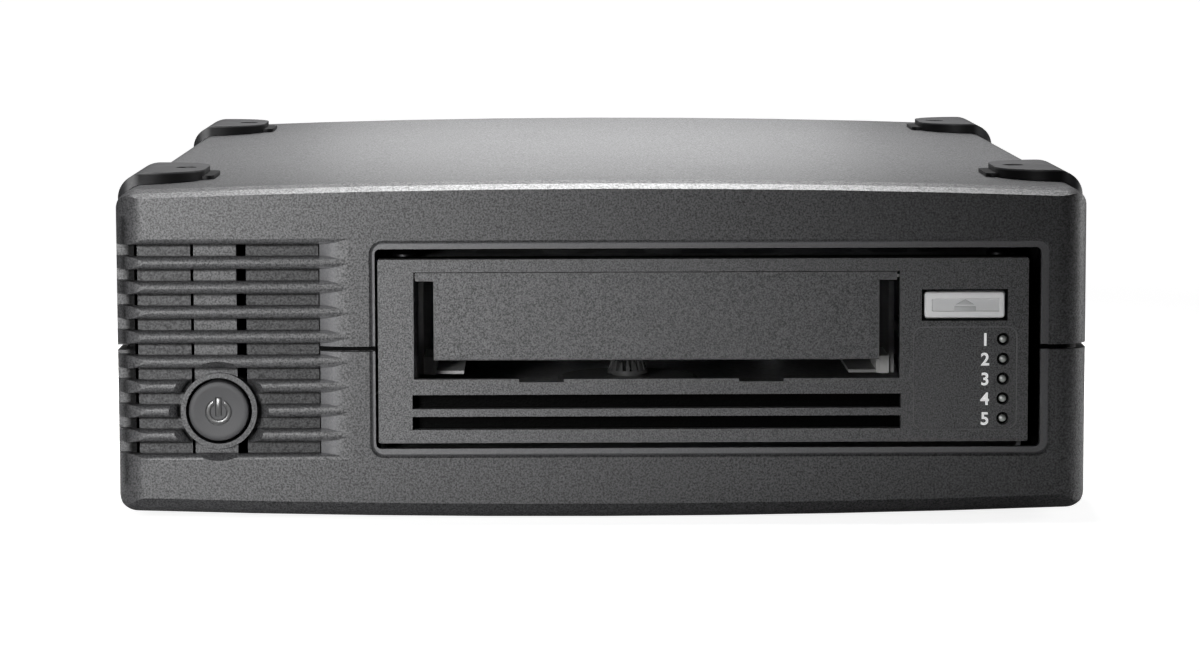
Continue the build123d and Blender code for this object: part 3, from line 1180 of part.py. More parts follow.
def fan_blade(angle, y):
    # One blade, twisted from its root in the hub to its tip
    sections = []
    for radius, pitch, chord in ((11.0, 42, 10.0), (26.3, 30, 11.0)):
        place = Location((FAN_X, y, FAN_Z), (0, angle, 0)) * Pos(radius, 0, 0) * Rot(pitch, 0, 0)
        with BuildSketch(Plane(place * Plane.YZ.location)) as section:
            Ellipse(chord / 2, 0.7)
        sections.append(section.sketch)
    return loft(sections, mode=Mode.PRIVATE)


def make_fan():
    y = (PANEL_INSIDE - FAN_DEPTH, PANEL_INSIDE)
    half = FAN_SIZE / 2
    with BuildPart() as frame:
        block((FAN_X - half, FAN_X + half), y, (FAN_Z - half, FAN_Z + half))
        fillet(frame.edges().filter_by(Axis.Y), 4)
        rod_y(FAN_X, FAN_Z, (y[0] - 1, y[1] + 1), half - 1.5, Mode.SUBTRACT)
        rod_y(FAN_X, FAN_Z, (y[1] - 3, y[1]), 13)
        for angle in (0, 90, 180, 270):
            with Locations(Location((FAN_X, y[1] - 1.2, FAN_Z), (0, angle + 20, 0)) * Pos(20, 0, 0)):
                Box(20, 2.4, 2.2)
        for dx in (-25, 25):
            for dz in (-25, 25):
                rod_y(FAN_X + dx, FAN_Z + dz, (y[0] - 1, y[1] + 1), 2.1, Mode.SUBTRACT)
        rod_y(FAN_X, FAN_Z, (y[1] - 4, y[1] + 1), 1.5 + BORE_GAP, Mode.SUBTRACT)
    finish(frame, "fan_frame")
    with BuildPart() as rotor:
        rod_y(FAN_X, FAN_Z, (y[0] + 1, y[1] - 3.5), 12)
        for index in range(FAN_BLADES):
            add(fan_blade(index * 360 / FAN_BLADES, y[0] + 6))
        rod_y(FAN_X, FAN_Z, (y[0] + 2, y[1] - 0.4), 1.5)
    finish(rotor, "fan_rotor")
    with BuildPart() as screws:
        for dx in (-25, 25):
            for dz in (-25, 25):
                rod_y(FAN_X + dx, FAN_Z + dz, (PANEL_FACE, PANEL_FACE + 1.6), 3.4)
                rod_y(FAN_X + dx, FAN_Z + dz, (PANEL_INSIDE - 10, PANEL_FACE + 0.1), 2.0)
    finish(screws, "fan_screws")


def make_inlet():
    w, h = INLET_BODY
    mw, mh = INLET_MOUTH
    inside = PANEL_FACE - INLET_DEPTH
    with BuildPart() as inlet:
        block((INLET_X - w / 2, INLET_X + w / 2), (inside - 3, PANEL_FACE), (INLET_Z - h / 2, INLET_Z + h / 2))
        with BuildSketch(at_depth(PANEL_FACE)):
            with Locations((INLET_X, INLET_Z)):
                RectangleRounded(w + 4, h + 4, 2.0)
        extrude(amount=-2, taper=15)
        with BuildSketch(at_depth(PANEL_FACE + 3)) as mouth:
            with Locations((INLET_X, INLET_Z)):
                Rectangle(mw, mh)
            chamfer(mouth.vertices().group_by(Axis.Y)[-1], 4.0)
        extrude(amount=INLET_DEPTH + 3, mode=Mode.SUBTRACT)
        for x, z in INLET_PINS:
            block((x - 1.05, x + 1.05), (inside - 4, inside + 1), (z - 2.05, z + 2.05), Mode.SUBTRACT)
    finish(inlet, "power_inlet")
    with BuildPart() as pins:
        for x, z in INLET_PINS:
            block((x - 1, x + 1), (inside - 8, PANEL_FACE - 3), (z - 2, z + 2))
        chamfer(pins.faces().group_by(Axis.Y)[-1].edges(), 0.5)
    finish(pins, "inlet_pins")


def make_ports():
    w, h = PORT_CAGE
    back = PANEL_FACE + 1.0
    with BuildPart() as cages:
        for x in PORT_X:
            block((x - w / 2, x + w / 2), (back - PORT_DEPTH, back), (PORT_Z - h / 2, PORT_Z + h / 2))
            block((x - w / 2 + PORT_SHEET, x + w / 2 - PORT_SHEET), (back - PORT_DEPTH + PORT_SHEET, back + 1),
                  (PORT_Z - h / 2 + PORT_SHEET, PORT_Z + h / 2 - PORT_SHEET), Mode.SUBTRACT)
    finish(cages, "data_ports")
    with BuildPart() as tongues:
        for x in PORT_X:
            block((x - w / 2 + 0.9, x + w / 2 - 0.9), (back - PORT_DEPTH + 0.9, back - PORT_DEPTH + 9),
                  (PORT_Z - h / 2 + 0.9, PORT_Z + h / 2 - 0.9))
            block((x - 9, x + 9), (back - PORT_DEPTH + 8, back - 4), (PORT_Z - 0.7, PORT_Z + 0.7))
    finish(tongues, "port_tongues")
    with BuildPart() as board:
        block(PORT_BOARD_X, PORT_BOARD_Y, (PORT_BOARD_Z, PORT_BOARD_Z + BOARD_THICKNESS))
        block((PORT_BOARD_X[0] + 10, PORT_BOARD_X[0] + 40), (PORT_BOARD_Y[0] + 1, PORT_BOARD_Y[0] + 7),
              (PORT_BOARD_Z - 6, PORT_BOARD_Z))
    finish(board, "port_board")


os.makedirs("parts", exist_ok=True)
CASE = case_body()
HOLLOW = case_hollow()
SLOTS = slot_cutter()
BAY = bay_cutter()
REAR_HOLE = rear_cutter()
make_top_cover()
make_base_shell()
make_pads()
make_vent_baffle()
make_power_button()
make_power_spring()
make_power_switch()
make_drive_bezel()
make_door()
make_door_pin()
make_eject_button()
make_status_lenses()
make_front_board()
make_drive_base()
make_drive_lid()
make_controller_board()
make_drive_connector()
make_cartridge_tray()
make_guide_shoes()
make_cam_slider()
make_guide_plates()
make_load_gear()
make_motor_pinion()
make_load_motor()
make_hub_motor()
make_drive_hub()
make_take_up_motor()
make_take_up_reel()
make_rollers()
make_head_group()
make_chassis_tray()
make_screws()
make_supply()
make_rear_panel()
make_fan()
make_inlet()
make_ports()
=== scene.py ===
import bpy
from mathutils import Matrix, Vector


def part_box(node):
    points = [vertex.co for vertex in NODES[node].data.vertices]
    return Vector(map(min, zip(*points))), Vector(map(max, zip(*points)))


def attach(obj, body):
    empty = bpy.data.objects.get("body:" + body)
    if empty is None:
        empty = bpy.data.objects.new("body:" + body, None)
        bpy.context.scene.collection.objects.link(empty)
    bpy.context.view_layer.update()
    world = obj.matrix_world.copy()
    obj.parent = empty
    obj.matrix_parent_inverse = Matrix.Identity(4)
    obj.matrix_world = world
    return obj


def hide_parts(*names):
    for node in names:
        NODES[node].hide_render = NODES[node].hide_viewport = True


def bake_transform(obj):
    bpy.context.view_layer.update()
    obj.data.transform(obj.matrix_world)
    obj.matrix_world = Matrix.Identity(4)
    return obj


bl_info = {
    "name": "Desktop tape drive",
    "version": (1, 0, 0),
    "blender": (4, 5, 0),
    "location": "View3D > Sidebar > Tape drive",
    "description": "Finishes, markings and studio for a desktop tape drive, built round its CAD frame",
    "category": "Object",
}

from math import pi, radians

import bmesh
import bpy
from mathutils import Matrix, Vector

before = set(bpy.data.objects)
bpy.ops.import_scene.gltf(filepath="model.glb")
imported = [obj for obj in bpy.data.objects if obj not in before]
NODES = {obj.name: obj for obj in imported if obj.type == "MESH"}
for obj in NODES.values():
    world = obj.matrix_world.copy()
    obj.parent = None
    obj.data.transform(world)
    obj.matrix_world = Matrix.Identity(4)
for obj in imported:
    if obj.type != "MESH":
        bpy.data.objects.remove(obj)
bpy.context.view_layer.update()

MM = 0.001
BLACK = (0.001, 0.001, 0.001)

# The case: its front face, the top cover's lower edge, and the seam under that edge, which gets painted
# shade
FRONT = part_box("top_cover")[0].y
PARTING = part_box("top_cover")[0].z
SEAM_LEVEL = PARTING - 0.6 * MM
SEAM_HALF = 0.58 * MM

# The painted shade of the inside doesn't come this near to the case's top and underside
SKIN = 8 * MM

# The pads: their top, and how far from the middle they turn round the case's sides
PAD_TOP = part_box("pad_front_left")[1].z
PAD_WRAP = 107.5 * MM

# The vent: its slots are deep as far right as VENT_RIGHT, their ramps, which get a painted highlight, end at
# RAMP_RIGHT, and the inside seen through it gets painted shade VENT_SHADE nearer to the front, a painted
# shade that falls by SHADE_FALL of its depth
VENT_RIGHT = -64.3 * MM
RAMP_RIGHT = -55 * MM
VENT_PITCH = 5.65 * MM
VENT_HALF = 4.4 * VENT_PITCH
VENT_SHADE = 1.4 * MM
SHADE_FALL = 0.11
RAMP_DEPTH = 6 * MM

# The shallow step round the drive's opening, which gets a painted highlight: its depths behind the front,
# and its width
STEP_START = 0.55 * MM
STEP_END = 1.1 * MM
STEP_WIDTH_MM = 6

# The drive's front: the lamps' panel with a highlight line painted round it, the lamps from the top one
# down, and their numbers
PANEL_X = (70.9 * MM, 94.4 * MM)
PANEL_Z = (20.7 * MM, 44.1 * MM)
PANEL_CORNER = 2.2 * MM
PANEL_LINE = 0.14 * MM
LAMP_X = 91.3 * MM
LAMP_TOP = 41.26 * MM
LAMP_PITCH = 4.54 * MM
LAMP_COUNT = 5
NUMBER_RIGHT = 88.2 * MM
NUMBER_DEPTH = 0.28 * MM

# The eject button's gap, painted as shade, starts this far inside the outline of its node, which includes a
# flange behind
EJECT_GAP_MM = 0.15

# How a brushed metal's grain is drawn out, across it and along it
ACROSS = 900
ALONG = 30

# The camera: its place, and in degrees how it looks down, turns and rolls
CAMERA_PLACE = (-0.01042, -1.01438, 0.13978)
CAMERA_DOWN = 6.3
CAMERA_TURN = -0.642
CAMERA_ROLL = -0.137
LENS_MM = 117
SENSOR_MM = 36

# The softboxes: place, point aimed at, width and height, and spread in degrees
SOFTBOXES = {
    "key": ((-0.22, -0.72, 0.15), (-0.15, -0.133, 0.045), (0.12, 0.2), 50),
    "top": ((0, 0.05, 0.5), (0, 0.03, 0.07), (0.2, 0.3), 60),
    "back": ((0, 0.42, 0.2), (0, 0, 0.078), (0.2, 0.16), 90),
    "rim": ((0.45, 0.0, 0.12), (0.11, -0.1, 0.045), (0.2, 0.2), 60),
}

CASE = ("top_cover", "base_shell")
PADS = ("pad_front_left", "pad_front_right", "pad_rear_left", "pad_rear_right", "feet")
ROLLERS = ("tape_roller_1", "tape_roller_2", "tape_roller_3", "tape_roller_4")
BOARDS = ("controller_board", "front_board", "port_board", "supply_board")
MOTORS = ("load_motor", "hub_motor", "take_up_motor", "coil_magnet")


# Shader building


class Signal:
    """An output socket that can be used in arithmetic: each operation adds its Math node."""

    def __init__(self, nodes, socket):
        self.nodes = nodes
        self.socket = socket

    def math(self, operation, first, second=0.5):
        return self.nodes.add("ShaderNodeMath", {"operation": operation}, {0: first, 1: second})

    def __add__(self, other):
        return self.math("ADD", self, other)

    def __radd__(self, other):
        return self.math("ADD", other, self)

    def __sub__(self, other):
        return self.math("SUBTRACT", self, other)

    def __rsub__(self, other):
        return self.math("SUBTRACT", other, self)

    def __mul__(self, other):
        return self.math("MULTIPLY", self, other)

    def __rmul__(self, other):
        return self.math("MULTIPLY", other, self)

    def __mod__(self, other):
        return self.math("MODULO", self, other)

    def __abs__(self):
        return self.math("ABSOLUTE", self)

    def root(self):
        return self.math("SQRT", self)

    def most(self, other):
        """The larger of the two."""
        return self.math("MAXIMUM", self, other)

    def least(self, other):
        """The smaller of the two."""
        return self.math("MINIMUM", self, other)

    def rise(self, start, end, low=0.0, high=1.0):
        """From low to high, smoothly, while this signal goes from start to end."""
        values = {"Value": self, "From Min": start, "From Max": end, "To Min": low, "To Max": high}
        return self.nodes.add("ShaderNodeMapRange", {"interpolation_type": "SMOOTHSTEP"}, values)

    def above(self, edge, softness):
        """0 below the edge, 1 above it, and smooth over the given width."""
        return self.rise(edge - softness / 2, edge + softness / 2)


class Nodes:
    """A node tree under construction."""

    def __init__(self, tree):
        self.tree = tree

    def feed(self, socket, value):
        if isinstance(value, Signal):
            self.tree.links.new(value.socket, socket)
        else:
            socket.default_value = value

    def add(self, kind, settings=None, values=None, output=0):
        """Any node: its settings first, then the values or links of its sockets."""
        node = self.tree.nodes.new(kind)
        for name, value in (settings or {}).items():
            setattr(node, name, value)
        for name, value in (values or {}).items():
            self.feed(node.inputs[name], value)
        return Signal(self, node.outputs[output])

    def fade(self, factor, first, second):
        """A number between first and second."""
        return self.add("ShaderNodeMix", {}, {0: factor, 2: first, 3: second})

    def blend(self, factor, first, second):
        """A colour between first and second."""
        first, second = (tone if isinstance(tone, Signal) else opaque(tone) for tone in (first, second))
        return self.add("ShaderNodeMix", {"data_type": "RGBA"}, {0: factor, 6: first, 7: second}, output=2)

    def rays(self, *kinds):
        """1 on light of any of these kinds, 0 on the rest."""
        level = self.add("ShaderNodeLightPath", output=kinds[0])
        for kind in kinds[1:]:
            level = level.most(self.add("ShaderNodeLightPath", output=kind))
        return level


class Finish(Nodes):
    """A material under construction, with one Principled shader."""

    def __init__(self, name, colour, roughness, metallic=0.0, **sockets):
        self.material = bpy.data.materials.new(name)
        self.material.use_nodes = True
        self.material.diffuse_color = opaque(colour)
        super().__init__(self.material.node_tree)
        self.shader = self.tree.nodes["Principled BSDF"]
        self.set(Base_Color=opaque(colour), Roughness=roughness, Metallic=metallic, **sockets)

    def set(self, **sockets):
        """Feeds the shader's sockets, whose names have an underscore for each space."""
        for name, value in sockets.items():
            self.feed(self.shader.inputs[name.replace("_", " ")], value)

    def place(self, scale=(1, 1, 1)):
        """Object coordinates, drawn together by the scale."""
        where = self.add("ShaderNodeTexCoord", output="Object")
        return self.add("ShaderNodeMapping", {}, {"Vector": where, "Scale": scale})

    def axis(self, letter):
        """One object coordinate, in metres."""
        where = self.add("ShaderNodeTexCoord", output="Object")
        return self.add("ShaderNodeSeparateXYZ", {}, {0: where}, output=letter)

    def noise(self, size_mm, detail=2.0, where=None, roughness=0.5):
        values = {"Vector": where or self.place(), "Scale": 1 / (size_mm * MM)}
        return self.add("ShaderNodeTexNoise", {}, {**values, "Detail": detail, "Roughness": roughness})

    def cells(self, size_mm, smoothness=0.4):
        values = {"Vector": self.place(), "Scale": 1 / (size_mm * MM), "Smoothness": smoothness}
        return self.add("ShaderNodeTexVoronoi", {"feature": "SMOOTH_F1"}, values)

    def bump(self, height, depth_mm, strength=1.0):
        values = {"Height": height, "Distance": depth_mm * MM, "Strength": strength}
        return self.add("ShaderNodeBump", {}, values)


def opaque(colour):
    return (*colour[:3], 1)


def shade(colour, factor):
    """The colour made darker or lighter."""
    return tuple(min(1, channel * factor) for channel in colour[:3])


# Masks


def ramps(finish):
    """1 on the ramps that end the vent's slots at the right."""
    x, y, z = (finish.axis(letter) for letter in "XYZ")
    across = x.above(VENT_RIGHT + 0.1 * MM, 0.2 * MM) * (1 - x.above(RAMP_RIGHT, 4 * MM))
    up = 1 - abs(z - PARTING).above(VENT_HALF, 0.5 * MM)
    return across * up * y.above(FRONT + 0.3 * MM, 0.6 * MM) * (1 - y.above(FRONT + RAMP_DEPTH, 1 * MM))


def beside_ribs(finish):
    """Painted shade: 1 behind the vent's ribs and 0 behind the middle of its slots, lower down the further
    in it lies.
    """
    y, z = finish.axis("Y"), finish.axis("Z")
    level = z - SEAM_LEVEL + (y - FRONT) * SHADE_FALL + VENT_PITCH * 5.5
    off = abs(level % VENT_PITCH - VENT_PITCH / 2)
    return off.above(1 * MM, 0.6 * MM) * y.above(FRONT + 1.6 * MM, 0.4 * MM)


def outline(finish, across, up, corner, half_width):
    """1 on the line of a rounded rectangle, seen from the front."""
    x = abs(finish.axis("X") - sum(across) / 2)
    z = abs(finish.axis("Z") - sum(up) / 2)
    beyond = (x - ((across[1] - across[0]) / 2 - corner)).most(0)
    above = (z - ((up[1] - up[0]) / 2 - corner)).most(0)
    reach = (beyond * beyond + above * above).root()
    return 1 - abs(reach - corner).above(half_width, 0.12 * MM)


def around(finish, node, margin_mm):
    """1 on what lies, seen from the front, within the margin of a node's outline."""
    low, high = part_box(node)
    middle, half = (low + high) / 2, (high - low) / 2
    x = abs(finish.axis("X") - middle.x)
    z = abs(finish.axis("Z") - middle.z)
    return 1 - (x - half.x).most(z - half.z).above(margin_mm * MM, 0.1 * MM)


def inside(moulding, start_mm, full_mm):
    """Painted shade: 1 on faces deeper than full_mm from the case's front, sides and rear, 0 nearer than
    start_mm.

    Left of VENT_RIGHT, where the vent is, it starts VENT_SHADE nearer. It is 0 on the ramps, and within
    SKIN of the case's top and underside.
    """
    low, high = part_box("top_cover")
    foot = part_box("base_shell")[0].z
    x, y, z = (moulding.axis(letter) for letter in "XYZ")
    depth = (y - low.y).least((high.y - y).least(high.x - abs(x)))
    depth = depth + (1 - x.above(VENT_RIGHT, 0.1 * MM)) * VENT_SHADE
    deep = depth.rise(start_mm * MM, full_mm * MM) * (1 - moulding.slopes)
    return deep * (high.z - z).above(SKIN, 1 * MM) * (z - foot).above(SKIN, 1 * MM)


# Finishes


class Pebbled(Finish):
    """Spark-eroded moulding: raised pebbles whose tops get grain and a painted highlight, over a slow
    unevenness.
    """

    def __init__(self, name, colour, roughness, grain_mm, depth_mm):
        super().__init__(name, colour, roughness, Specular_IOR_Level=0.2, Coat_Roughness=roughness)
        pebbles = self.cells(grain_mm)
        fine = self.noise(grain_mm * 0.8, 3, roughness=0.65)
        slow = self.noise(38, 3)
        self.colour = colour
        self.slopes = ramps(self)
        self.tops = (fine * 0.8 + 0.12 - pebbles * 0.1).above(0.46, 0.3)
        # Painted highlight on the pebbles' tops and painted shade between them, over the grain's own tone
        speckled = self.blend(self.tops, shade(colour, 0.4), shade(colour, 1.78))
        self.tone = self.blend(slow.above(0.5, 0.5) * 0.3, speckled, shade(colour, 1.15))
        self.set(Roughness=roughness - 0.08 + pebbles * 0.12 + slow * 0.06)
        self.set(Normal=self.bump(fine * 0.75 - pebbles * 0.5, depth_mm))

    def paint_highlight(self, mask, factor):
        """Paints a highlight: makes the moulding lighter where the mask is 1."""
        self.tone = self.blend(mask, self.tone, shade(self.colour, factor))

    def close(self, painted_shade):
        """Paints shade: makes the moulding black, with no highlight, where the mask is 1, and gives its
        material.
        """
        shine = 0.2 + self.tops * 0.7 + self.slopes * 0.35
        self.set(Base_Color=self.blend(painted_shade, self.tone, BLACK))
        self.set(Metallic=painted_shade * 0.9, Coat_Weight=shine * (1 - painted_shade))
        return self.material


def case_moulding(colour, grain_mm):
    """The shells: painted shade in the seam and deep in the slots, painted highlight on the ramps and round
    the bezel.
    """
    moulding = Pebbled("case_moulding", colour, 0.46, grain_mm, 0.1)
    # Painted shade in the seam between the shells
    seam = 1 - abs(moulding.axis("Z") - SEAM_LEVEL).above(SEAM_HALF, 0.1 * MM)
    depth = moulding.axis("Y") - FRONT
    # Painted highlight on the shallow step round the drive's opening, and on the ramps
    step = depth.above(STEP_START, 0.2 * MM) * (1 - depth.above(STEP_END, 0.3 * MM))
    moulding.paint_highlight(step * around(moulding, "drive_bezel", STEP_WIDTH_MM), 2.6)
    moulding.paint_highlight(moulding.slopes * 0.75, 3.6)
    return moulding.close((inside(moulding, 2.2, 4.6) * 0.96).most(seam))


def trap_moulding(colour, grain_mm):
    """The light trap: painted shade behind each rib of the vent, and painted black shade further in."""
    moulding = Pebbled("trap_moulding", colour, 0.5, grain_mm, 0.09)
    return moulding.close((inside(moulding, 2.9, 10) * 0.9).most(beside_ribs(moulding) * 0.8))


def bezel_moulding(colour, grain_mm):
    """The drive's front: painted shade in the eject button's gap and further in, painted highlight round the
    lamps' panel.
    """
    moulding = Pebbled("bezel_moulding", colour, 0.48, grain_mm, 0.08)
    # Painted shade in the eject button's gap, and a painted highlight line round the lamps' panel
    gap = around(moulding, "eject_button", -EJECT_GAP_MM)
    moulding.paint_highlight(outline(moulding, PANEL_X, PANEL_Z, PANEL_CORNER, PANEL_LINE) * 0.5, 3)
    return moulding.close(inside(moulding, 2.8, 3.6).most(gap))


def satin(name, colour, roughness, recess=None, **sockets):
    """Smooth moulding with a faint grain and handling marks; recess is the Y behind which a painted shade
    makes it darker.
    """
    finish = Finish(name, colour, roughness, **sockets)
    grain = finish.noise(0.5, 3)
    smears = finish.noise(14, 4)
    tone = finish.blend(smears.above(0.5, 0.4), shade(colour, 0.92), shade(colour, 1.08))
    if recess is not None:
        # Painted shade in the recess
        tone = finish.blend(finish.axis("Y").above(recess, 0.1 * MM), tone, shade(colour, 0.76))
    finish.set(Base_Color=tone, Roughness=roughness - 0.04 + smears * 0.1, Normal=finish.bump(grain, 0.006))
    return finish.material


def rubber(name, colour):
    """Dull rubber, lighter in patches; painted shade makes it nearly black below the pads' top, except on
    the case's sides.
    """
    finish = Finish(name, colour, 0.62, Specular_IOR_Level=0.55)
    grain = finish.noise(0.35, 3)
    bloom = finish.noise(9, 4).above(0.52, 0.3)
    tone = finish.blend(bloom * 0.5, shade(colour, 1.3), shade(colour, 1.7))
    # Painted shade below the pads' top: black, with no highlight
    side = (PAD_TOP - finish.axis("Z")).above(0.35 * MM, 0.3 * MM) * 0.8
    side = side * (1 - abs(finish.axis("X")).above(PAD_WRAP, 2 * MM))
    finish.set(Base_Color=finish.blend(side, tone, (0.002, 0.002, 0.002)), Metallic=side)
    finish.set(Roughness=0.46 + bloom * 0.1 + grain * 0.08, Normal=finish.bump(grain, 0.012))
    return finish.material


def brushed(name, colour, roughness, stretch):
    """Rolled or brushed metal: a grain too fine to see line by line, and duller patches."""
    finish = Finish(name, colour, roughness, 1.0)
    streaks = finish.noise(1, 3, finish.place(stretch))
    dull = finish.noise(22, 4)
    tone = finish.blend(dull.above(0.5, 0.5), shade(colour, 0.88), shade(colour, 1.06))
    finish.set(Base_Color=tone, Roughness=roughness - 0.1 + streaks * 0.16 + dull * 0.06)
    finish.set(Normal=finish.bump(streaks, 0.004, 0.6))
    return finish.material


def cast(name, colour, roughness):
    """Cast metal: uneven skin, darker in its pores."""
    finish = Finish(name, colour, roughness, 1.0)
    skin = finish.noise(0.9, 4)
    pores = finish.cells(1.7)
    finish.set(Base_Color=finish.blend(pores.above(0.35, 0.4), shade(colour, 0.8), colour))
    finish.set(Roughness=roughness - 0.08 + skin * 0.18, Normal=finish.bump(skin + pores * 0.4, 0.03))
    return finish.material


def spangle(name, colour):
    """Zinc-plated sheet with faint crystal patches."""
    finish = Finish(name, colour, 0.38, 1.0)
    crystals = {"Vector": finish.place(), "Scale": 1 / (7 * MM)}
    patch = finish.add("ShaderNodeTexVoronoi", {"feature": "F1"}, crystals, "Color")
    patch = finish.add("ShaderNodeSeparateColor", {}, {0: patch})
    grain = finish.noise(0.8, 3)
    finish.set(Base_Color=finish.blend(patch, shade(colour, 0.86), shade(colour, 1.05)))
    finish.set(Roughness=0.3 + patch * 0.1 + grain * 0.1, Normal=finish.bump(grain, 0.006))
    return finish.material


def solder_mask(name, colour):
    """Circuit board: tracks under lacquer, with rows of tinned pads."""
    finish = Finish(name, colour, 0.3, Coat_Weight=0.4)
    tracks = finish.add("ShaderNodeTexBrick", {"offset": 0.37, "squash": 0.6}, {
        "Vector": finish.place(), "Scale": 1 / (9 * MM), "Mortar Size": 0.045, "Mortar Smooth": 0.1,
        "Brick Width": 0.9, "Row Height": 0.22}, "Fac")
    pads = 1 - finish.cells(2.6, smoothness=0.05).above(0.16, 0.04)
    green = finish.blend(tracks, colour, shade(colour, 1.7))
    finish.set(Base_Color=finish.blend(pads, green, (0.55, 0.55, 0.52)), Metallic=pads * 0.9)
    finish.set(Roughness=0.28 + tracks * 0.1, Normal=finish.bump(tracks + pads, 0.03))
    return finish.material


def ink(name, colour):
    """Printed mark: flat and a little uneven, with a faint painted glow that keeps it bright."""
    finish = Finish(name, colour, 0.5, Emission_Color=opaque(colour), Emission_Strength=0.22)
    grain = finish.noise(0.3, 3)
    finish.set(Base_Color=finish.blend(grain.above(0.45, 0.5), shade(colour, 0.9), colour))
    finish.set(Roughness=0.42 + grain * 0.14)
    return finish.material


def lens(name, colour):
    """Smoky lamp lens with a painted highlight at its upper left, painted grey light below and painted shade
    at its edge.
    """
    finish = Finish(name, colour, 0.22, Coat_Weight=1.0, Coat_Roughness=0.08)
    cloud = finish.noise(0.8, 3)
    x = finish.axis("X") - LAMP_X
    z = LAMP_PITCH / 2 - (LAMP_TOP + LAMP_PITCH / 2 - finish.axis("Z")) % LAMP_PITCH

    def spot(right_mm, up_mm, radius_mm, soft_mm):
        """1 in a round spot, placed from the middle of each lens."""
        across, up = x - right_mm * MM, z - up_mm * MM
        return 1 - (across * across + up * up).root().above(radius_mm * MM, soft_mm * MM)

    # Painted shade at the edge, painted light below the middle and a painted highlight at the upper left
    edge = 1 - spot(right_mm=-0.05, up_mm=0, radius_mm=0.85, soft_mm=0.25)
    glow = spot(right_mm=0.05, up_mm=-0.4, radius_mm=0.6, soft_mm=0.8)
    painted_glint = spot(right_mm=-0.4, up_mm=0.15, radius_mm=0.3, soft_mm=0.35)
    body = finish.blend(cloud, shade(colour, 0.75), shade(colour, 1.1))
    body = finish.blend(glow, body, shade(colour, 2.2))
    body = finish.blend(painted_glint, body, (0.95, 0.95, 0.95))
    finish.set(Base_Color=finish.blend(edge, body, BLACK), Metallic=edge * 0.9)
    finish.set(Roughness=0.16 + cloud * 0.14, Normal=finish.bump(cloud, 0.01))
    return finish.material


def wound(name, colour):
    """Enamelled wire in tight turns."""
    finish = Finish(name, colour, 0.3, 0.9, Coat_Weight=0.5)
    turns = finish.add("ShaderNodeTexWave", {"wave_type": "BANDS", "bands_direction": "Z"}, {
        "Vector": finish.place(), "Scale": 1 / (2.6 * MM), "Distortion": 0.6})
    finish.set(Base_Color=finish.blend(turns, shade(colour, 0.5), colour))
    finish.set(Roughness=0.25 + turns * 0.15, Normal=finish.bump(turns, 0.06))
    return finish.material


# Mesh helpers


def dress(material, *nodes):
    """Gives CAD nodes their finish."""
    for node in nodes:
        mesh = NODES[node].data
        mesh.materials.clear()
        mesh.materials.append(material)


def deselect():
    for thing in bpy.context.selected_objects:
        thing.select_set(False)


def only(piece):
    """Selects this piece and nothing else."""
    deselect()
    piece.select_set(True)
    bpy.context.view_layer.objects.active = piece


def fix():
    """Puts the selected object's place, turn and scale in its mesh."""
    bpy.ops.object.transform_apply(location=True, rotation=True, scale=True)


def settle(piece, name, body, material):
    """Puts a finished piece's place in its mesh, names it and lets it ride."""
    only(piece)
    fix()
    piece.name = name
    piece.data.name = name
    piece.data.materials.clear()
    piece.data.materials.append(material)
    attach(piece, body)


def join(pieces):
    """Makes the pieces one object, and gives it."""
    only(pieces[0])
    for piece in pieces[1:]:
        piece.select_set(True)
    bpy.ops.object.join()
    return bpy.context.object


def apply(piece, kind, **settings):
    """Adds a modifier and applies it at once."""
    only(piece)
    modifier = piece.modifiers.new(kind.title(), kind)
    for name, value in settings.items():
        setattr(modifier, name, value)
    bpy.ops.object.modifier_apply(modifier=modifier.name)


def carve(piece, cutter):
    apply(piece, "BOOLEAN", object=cutter, operation="DIFFERENCE", solver="EXACT")
    bpy.data.objects.remove(cutter)


def smooth(piece, angle):
    """Smooths the faces that meet at less than the angle."""
    only(piece)
    bpy.ops.object.shade_smooth_by_angle(angle=radians(angle))


def bevel_edges(piece, width_mm, angle):
    """Rounds the edges that turn by more than the angle, and smooths what is left."""
    apply(piece, "BEVEL", width=width_mm * MM, segments=2, limit_method="ANGLE", angle_limit=radians(angle),
          use_clamp_overlap=True)
    smooth(piece, 35)


def copy_node(node):
    """A separate, merged copy of a CAD node's mesh."""
    mesh = bpy.data.meshes.new(node + "_copy")
    shape = bmesh.new()
    shape.from_mesh(NODES[node].data)
    bmesh.ops.remove_doubles(shape, verts=shape.verts, dist=0.001 * MM)
    shape.to_mesh(mesh)
    shape.free()
    piece = bpy.data.objects.new(node + "_copy", mesh)
    bpy.context.collection.objects.link(piece)
    return piece


def block(middle, size):
    """A block round its middle."""
    bpy.ops.mesh.primitive_cube_add(size=1, location=middle, scale=size)
    fix()
    return bpy.context.object


def printed_text(words, right, depth, foot, height):
    """A line of print that is read from the front, with its right edge and its foot at these places."""
    figure_share = 0.7
    bpy.ops.object.text_add(location=(right, FRONT + depth, foot), rotation=(pi / 2, 0, 0))
    text = bpy.context.object
    text.data.body = words
    text.data.size = height / figure_share
    text.data.extrude = 0.015 * MM
    text.data.offset = 0.09 * MM
    text.data.align_x = "RIGHT"
    only(text)
    bpy.ops.object.convert(target="MESH")
    return bpy.context.object


# Settings


